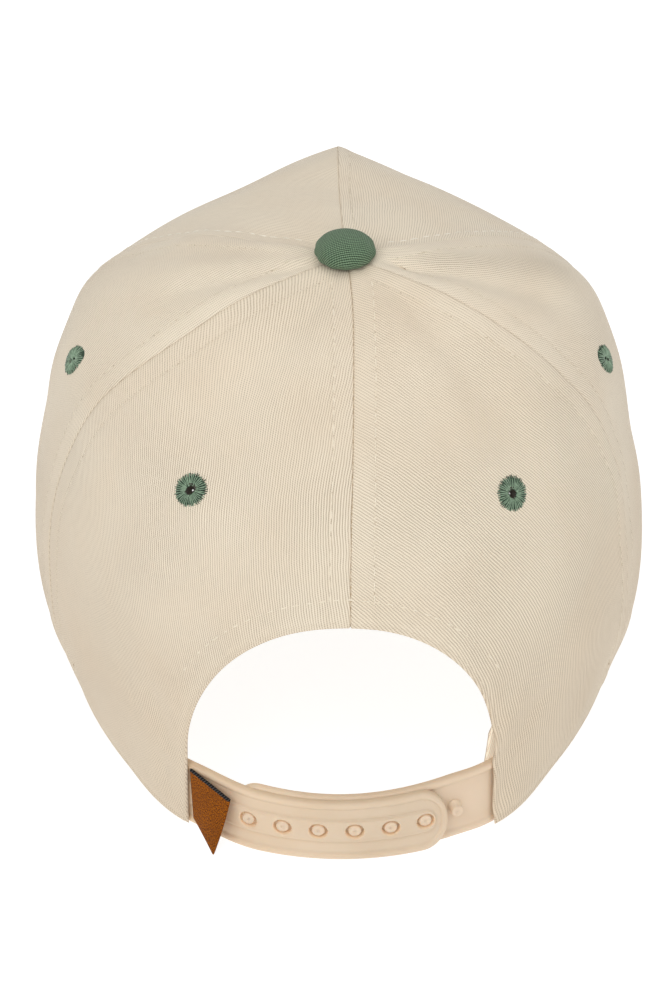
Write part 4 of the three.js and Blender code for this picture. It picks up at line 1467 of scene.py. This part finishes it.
# azimuths of the seven holes and of the seven pegs
SNAP_PITCH = 5.8
HOLES = [159.1 + SNAP_PITCH * i for i in range(7)]
PEGS = [164.9 + SNAP_PITCH * i for i in range(7)]
HOLE_RADIUS = 2.1
HOLE_HALF_WIDTH = 2.5
PEG_RADIUS = 1.72
# distances from the holes' middle line of the lines that follow the raised band's step
BAND_STEP = (2.6, 2.85, 3.0, 3.2, 3.4, 3.65)
# place of the small round mould mark beyond the last peg
MARK_BEYOND = 4.5
MARK_HEIGHT = 11.6


def strap_x(azimuth):
    """Place along the flat strap, in millimetres from azimuth 180."""
    return (azimuth - 180) * STRAP_MM_PER_DEGREE


def strap_point(azimuth, height, depth):
    """Points of the rear rim at a real height, moved inwards along the radius."""
    low = np.zeros(len(azimuth))
    high = np.full(len(azimuth), 0.2)
    for _ in range(24):
        middle = (low + high) / 2
        under = crown(azimuth, middle)[:, 2] < height
        low = np.where(under, middle, low)
        high = np.where(under, high, middle)
    turn = np.radians(azimuth)
    points = crown(azimuth, low)
    points[:, 0] -= depth * np.sin(turn)
    points[:, 1] += depth * np.cos(turn)
    points[:, 2] = height
    return points


def outer_strap_depth(azimuth):
    """Depth of the outer half's outer face."""
    return STRAP_UNDER_CLOTH + (STRAP_AT_RIM - STRAP_UNDER_CLOTH) * ease(azimuth, 154, 167)


def inner_strap_depth(azimuth):
    """Depth of the inner half's outer face."""
    behind = outer_strap_depth(azimuth) + STRAP_THICKNESS + STRAP_GAP
    return behind - STRAP_RETURN * ease(azimuth, 199, 205)


def strap_loop(sewn, free):
    """Anticlockwise outline of a flat strap with a rounded free end."""
    start_x, free_x = strap_x(sewn), strap_x(free)
    side = np.sign(free_x - start_x)
    turn = np.linspace(-math.pi / 2, math.pi / 2, 30)
    x = free_x - side * STRAP_END * (1 - np.cos(turn))
    round_end = np.stack([x, STRAP_HEIGHT / 2 * (1 + np.sin(turn))], axis=1)
    loop = np.concatenate([[[start_x, 0]], round_end, [[start_x, STRAP_HEIGHT]]])
    if side < 0:
        loop = loop[::-1]
    return resampled(closed(loop), 0.7)[:-1]


def hole_shape(spots, azimuth):
    """Distance from the edge of an oval snap hole, negative inside it."""
    away = spots - [strap_x(azimuth), STRAP_HEIGHT / 2]
    return np.hypot(away[:, 0] * HOLE_RADIUS / HOLE_HALF_WIDTH, away[:, 1]) - HOLE_RADIUS


def nearest_hole(spots, places):
    """Distance from the edge of the nearest hole, 9 where there is none near."""
    gap = np.full(len(spots), 9.0)
    for azimuth in places:
        gap = np.minimum(gap, hole_shape(spots, azimuth))
    return gap


def hole_loop(azimuth, wider, count=36):
    """Outline of an oval snap hole, or of one that is wider all round."""
    turn = np.linspace(0, math.tau, count, endpoint=False)
    x = strap_x(azimuth) + (HOLE_HALF_WIDTH + wider) * np.cos(turn)
    return np.stack([x, STRAP_HEIGHT / 2 + (HOLE_RADIUS + wider) * np.sin(turn)], axis=1)


def band_step_guides(start, end):
    """Lines along the step of the raised middle band, round its end and along its sides."""
    turn = np.linspace(-math.pi / 2, math.pi / 2, 16)
    guides = []
    for radius in BAND_STEP:
        arc = end + radius * directions(turn)
        line = np.concatenate([[[start, end[1] - radius]], arc, [[start, end[1] + radius]]])
        guides.append(resampled(line, 0.6))
    return guides


def strap_solid(name, sewn, free, depth_at, holes, pegs, relief, glow, side_glow):
    """One half of the strap, flat triangles bent round the rear rim."""
    loop = strap_loop(sewn, free)
    loops = [loop]
    guides = inner_guides(loop, [0.1, 0.3, 0.55, 0.85, 1.15, 1.4, 1.6, 1.72, 1.95], 0.7)
    for azimuth in holes:
        loops.append(hole_loop(azimuth, 0))
        guides.append(closed(hole_loop(azimuth, 0.15)))
        guides.append(closed(hole_loop(azimuth, 0.4)))
    for azimuth in pegs:
        guides.append(closed(hole_loop(azimuth, 0.2)))
    if holes:
        guides += band_step_guides(strap_x(sewn) + 1.5, [strap_x(holes[-1]), STRAP_HEIGHT / 2])
    spots, triangles = triangulate(loops, guides, 0.6)
    azimuth = spots[:, 0] / STRAP_MM_PER_DEGREE + 180
    edge = distance_to(spots, closed(loop))
    hole_gap = nearest_hole(spots, holes)
    peg_gap = nearest_hole(spots, pegs)
    thin = edge_round(edge, 0.3) + edge_round(np.maximum(hole_gap, 0), 0.3)
    rise = relief(spots, edge) - thin
    back = STRAP_THICKNESS - thin
    outer = strap_point(azimuth, spots[:, 1], depth_at(azimuth) - rise)
    inner = strap_point(azimuth, spots[:, 1], depth_at(azimuth) + back)
    # painted light, where the plastic glows as if light came through it: towards one side, along its
    # border, round its holes and round the pegs
    rim = glow + side_glow * (1 - ease(azimuth, 160, 186)) + 0.06 * (1 - ease(edge, 1.6, 2.4))
    rim += 0.35 * bump(hole_gap, 0, 0.13) + 0.5 * (1 - ease(peg_gap, 1.2, 1.9))
    attributes = {"rim": (rim, np.maximum(rim, 0.7 * bump(hole_gap, 0, 0.6)))}
    return wall_solid(name, spots, triangles, outer, inner, attributes)


def bead(edge):
    """Round bead along the strap's border."""
    across = np.clip((edge - 0.9) / 0.9, -1, 1)
    return 0.62 * np.sqrt(1 - across**2)


def holes_relief(spots, edge):
    """Bead, raised middle band with a lip and a channel beside the bead."""
    along = np.maximum(spots[:, 0] - strap_x(HOLES[-1]), 0)
    from_line = np.hypot(along, spots[:, 1] - STRAP_HEIGHT / 2)
    band = 0.42 * (1 - ease(from_line, 2.95, 3.2))
    lip = 0.16 * bump(from_line, 2.7, 0.22) - 0.16 * bump(from_line, 3.4, 0.22)
    channel = -0.12 * bump(edge, 2.05, 0.25)
    return np.maximum(bead(edge), band) + lip + channel


def pegs_relief(spots, edge):
    """Bead and the small round mould mark."""
    ring = np.linalg.norm(spots - [strap_x(PEGS[-1] + MARK_BEYOND), MARK_HEIGHT], axis=1)
    return bead(edge) + 0.12 * bump(ring, 1.6, 0.2)


def snap_peg(azimuth):
    """Peg with a slightly domed head, standing out of the inner half."""
    at = np.array([azimuth])
    origin = strap_point(at, np.array([STRAP_HEIGHT / 2]), inner_strap_depth(at))[0]
    turn = math.radians(azimuth)
    outward = np.array([math.sin(turn), -math.cos(turn), 0])
    r = PEG_RADIUS
    profile = [[0.01, -0.6], [r, -0.6], [r + 0.25, 0], [r, 0.25], [r, 2.4]]
    profile += [[r - 0.1, 2.58], [r - 0.35, 2.68], [0.01, 2.74]]
    points, faces = ring_mesh(profile, 32)
    # painted light: the peg glows towards its root
    rim = 0.25 * (1 - ease(points[:, 2], 1.4, 2.5))
    return make_object("peg", placed(points, origin, outward), faces, {"rim": rim})


strap = strap_solid("strap_holes", 146, 197.9, outer_strap_depth, HOLES, [], holes_relief, 0.06, 0.16)
finish_piece(strap, strap_plastic, "strap_holes")
strap = strap_solid("strap_pegs", 214, 161.7, inner_strap_depth, [], PEGS[:-1], pegs_relief, 0.02, 0.3)
join(strap, [snap_peg(azimuth) for azimuth in PEGS])
finish_piece(strap, lit_inner_strap_plastic, "strap_pegs")


# Leather tab
# corners of its outer face
SEWN_TOP = np.array([39.5, 79.5, 16.8])
FREE_TOP = np.array([28.8, 90, 14.6])
SEWN_BOTTOM = np.array([38.6, 83.2, 3.2])
FREE_BOTTOM = np.array([33, 95.3, 0.6])
tab_inwards = unit(np.array([-0.68, -0.72, 0]))


def tab_point(a, b, depth):
    """a runs from the hanging edge to the sewn edge, b from the bottom to the top."""
    bottom = FREE_BOTTOM + (SEWN_BOTTOM - FREE_BOTTOM) * a[..., None]
    top = FREE_TOP + (SEWN_TOP - FREE_TOP) * a[..., None]
    point = bottom + (top - bottom) * b[..., None]
    curl = 0.5 * np.sin(math.pi * b) * (1 - a) - 0.35 * (1 - a) ** 2 * (1 - b)
    return point + (depth + curl)[..., None] * tab_inwards


TAB_WIDTH = 14.6
TAB_HEIGHT = 14.4
TAB_THICKNESS = 1.0
# rows of points from the top to the bottom, columns from the hanging edge to the sewn edge
a = np.concatenate([[0, 0.01, 0.03], np.linspace(0.06, 0.94, 40), [0.97, 0.99, 1]])
b = np.concatenate([[0, 0.008, 0.025], np.linspace(0.05, 0.95, 44), [0.975, 0.992, 1]])
grid_b, grid_a = np.meshgrid(b[::-1], a, indexing="ij")
from_ends = np.minimum(grid_b, 1 - grid_b) * TAB_HEIGHT
thin = edge_round(np.minimum(np.minimum(grid_a, 1 - grid_a) * TAB_WIDTH, from_ends), 0.35)
outer = tab_point(grid_a, grid_b, thin)
inner = tab_point(grid_a, grid_b, TAB_THICKNESS - thin)
from_side = ((1 - grid_a) * TAB_WIDTH).ravel()
from_top = ((1 - grid_b) * TAB_HEIGHT).ravel()
cloth = np.stack([from_side, from_top, 0 * from_side], axis=1)
# the inner face shows another patch of the leather
attributes = {"cloth": np.concatenate([cloth, cloth + [0, 0, 9]])}
tab = sheet_solid("label_tab", outer, inner, attributes)
finish_piece(tab, tab_leather, "label_tab")


# Floor, light and camera
def floor_material():
    """Plain paper that glows a little, so that it stays white round the cap."""
    shader = Shader("pale_floor")
    spot = shader.add("TexCoord").outputs["Object"]
    tone = shader.noise(spot, 6.0, 2.0)
    shade = shader.mix(tone, (0.3, 0.3, 0.3, 1), (0.33, 0.33, 0.33, 1))
    inputs = {"Base Color": shade, "Roughness": 0.9, "Specular IOR Level": 0.1}
    inputs.update({"Emission Color": (1, 1, 1, 1), "Emission Strength": 0.86})
    return shader.finish(inputs)


FLOOR_REACH = 6
FLOOR_LEVEL = -0.0003
floor_mesh = bpy.data.meshes.new("floor")
sides = ((-1, -1), (1, -1), (1, 1), (-1, 1))
corners = [(x * FLOOR_REACH, y * FLOOR_REACH, FLOOR_LEVEL) for x, y in sides]
floor_mesh.from_pydata(corners, [], [(0, 1, 2, 3)])
floor = bpy.data.objects.new("floor", floor_mesh)
bpy.context.scene.collection.objects.link(floor)
floor_mesh.materials.append(floor_material())

world = bpy.data.worlds.new("studio")
bpy.context.scene.world = world
world.use_nodes = True
background = world.node_tree.nodes["Background"]
background.inputs["Color"].default_value = (1, 1, 1, 1)
background.inputs["Strength"].default_value = 0.4

TARGET = Vector(((SHIFT / 1000) + [0, 0, 0.06]).tolist())
# name, direction from the target, distance, size, power
LIGHTS = [
    ["key_light", (0.55, 0.75, 0.95), 1.3, 0.8, 5.2],
    ["fill_light", (-0.8, 0.55, 0.7), 1.3, 1.0, 3.7],
    ["low_light", (0.35, 1.0, 0.45), 1.5, 0.8, 2.2],
    ["top_light", (0.0, -0.4, 1.0), 1.4, 1.2, 5.2],
]
for name, direction, distance, size, power in LIGHTS:
    data = bpy.data.lights.new(name, "AREA")
    data.size = size
    data.energy = power
    light = bpy.data.objects.new(name, data)
    bpy.context.scene.collection.objects.link(light)
    way = Vector(direction).normalized()
    light.location = TARGET + way * distance
    light.rotation_mode = "QUATERNION"
    light.rotation_quaternion = way.to_track_quat("Z", "Y")

# the photo's height, the focal length and the shifts of the view, in the photo's pixels
PHOTO_HEIGHT = 1001
FOCAL_LENGTH = 4748.9
VIEW_SHIFT = (-4.5, -36.44)
SENSOR = 36
CAMERA_DISTANCE = 1.3
CAMERA_ELEVATION = 35
camera_data = bpy.data.cameras.new("camera")
camera_data.sensor_fit = "AUTO"
camera_data.sensor_width = SENSOR
camera_data.lens = FOCAL_LENGTH * SENSOR / PHOTO_HEIGHT
camera_data.shift_x = VIEW_SHIFT[0] / PHOTO_HEIGHT
camera_data.shift_y = VIEW_SHIFT[1] / PHOTO_HEIGHT
camera_data.clip_start = 0.05
camera_data.clip_end = 50
camera = bpy.data.objects.new("camera", camera_data)
bpy.context.scene.collection.objects.link(camera)
elevation = math.radians(CAMERA_ELEVATION)
way = Vector((0, math.cos(elevation), math.sin(elevation)))
camera.location = TARGET + way * CAMERA_DISTANCE
camera.rotation_mode = "QUATERNION"
camera.rotation_quaternion = way.to_track_quat("Z", "Y")
bpy.context.scene.camera = camera
bpy.context.scene.view_settings.view_transform = "Standard"
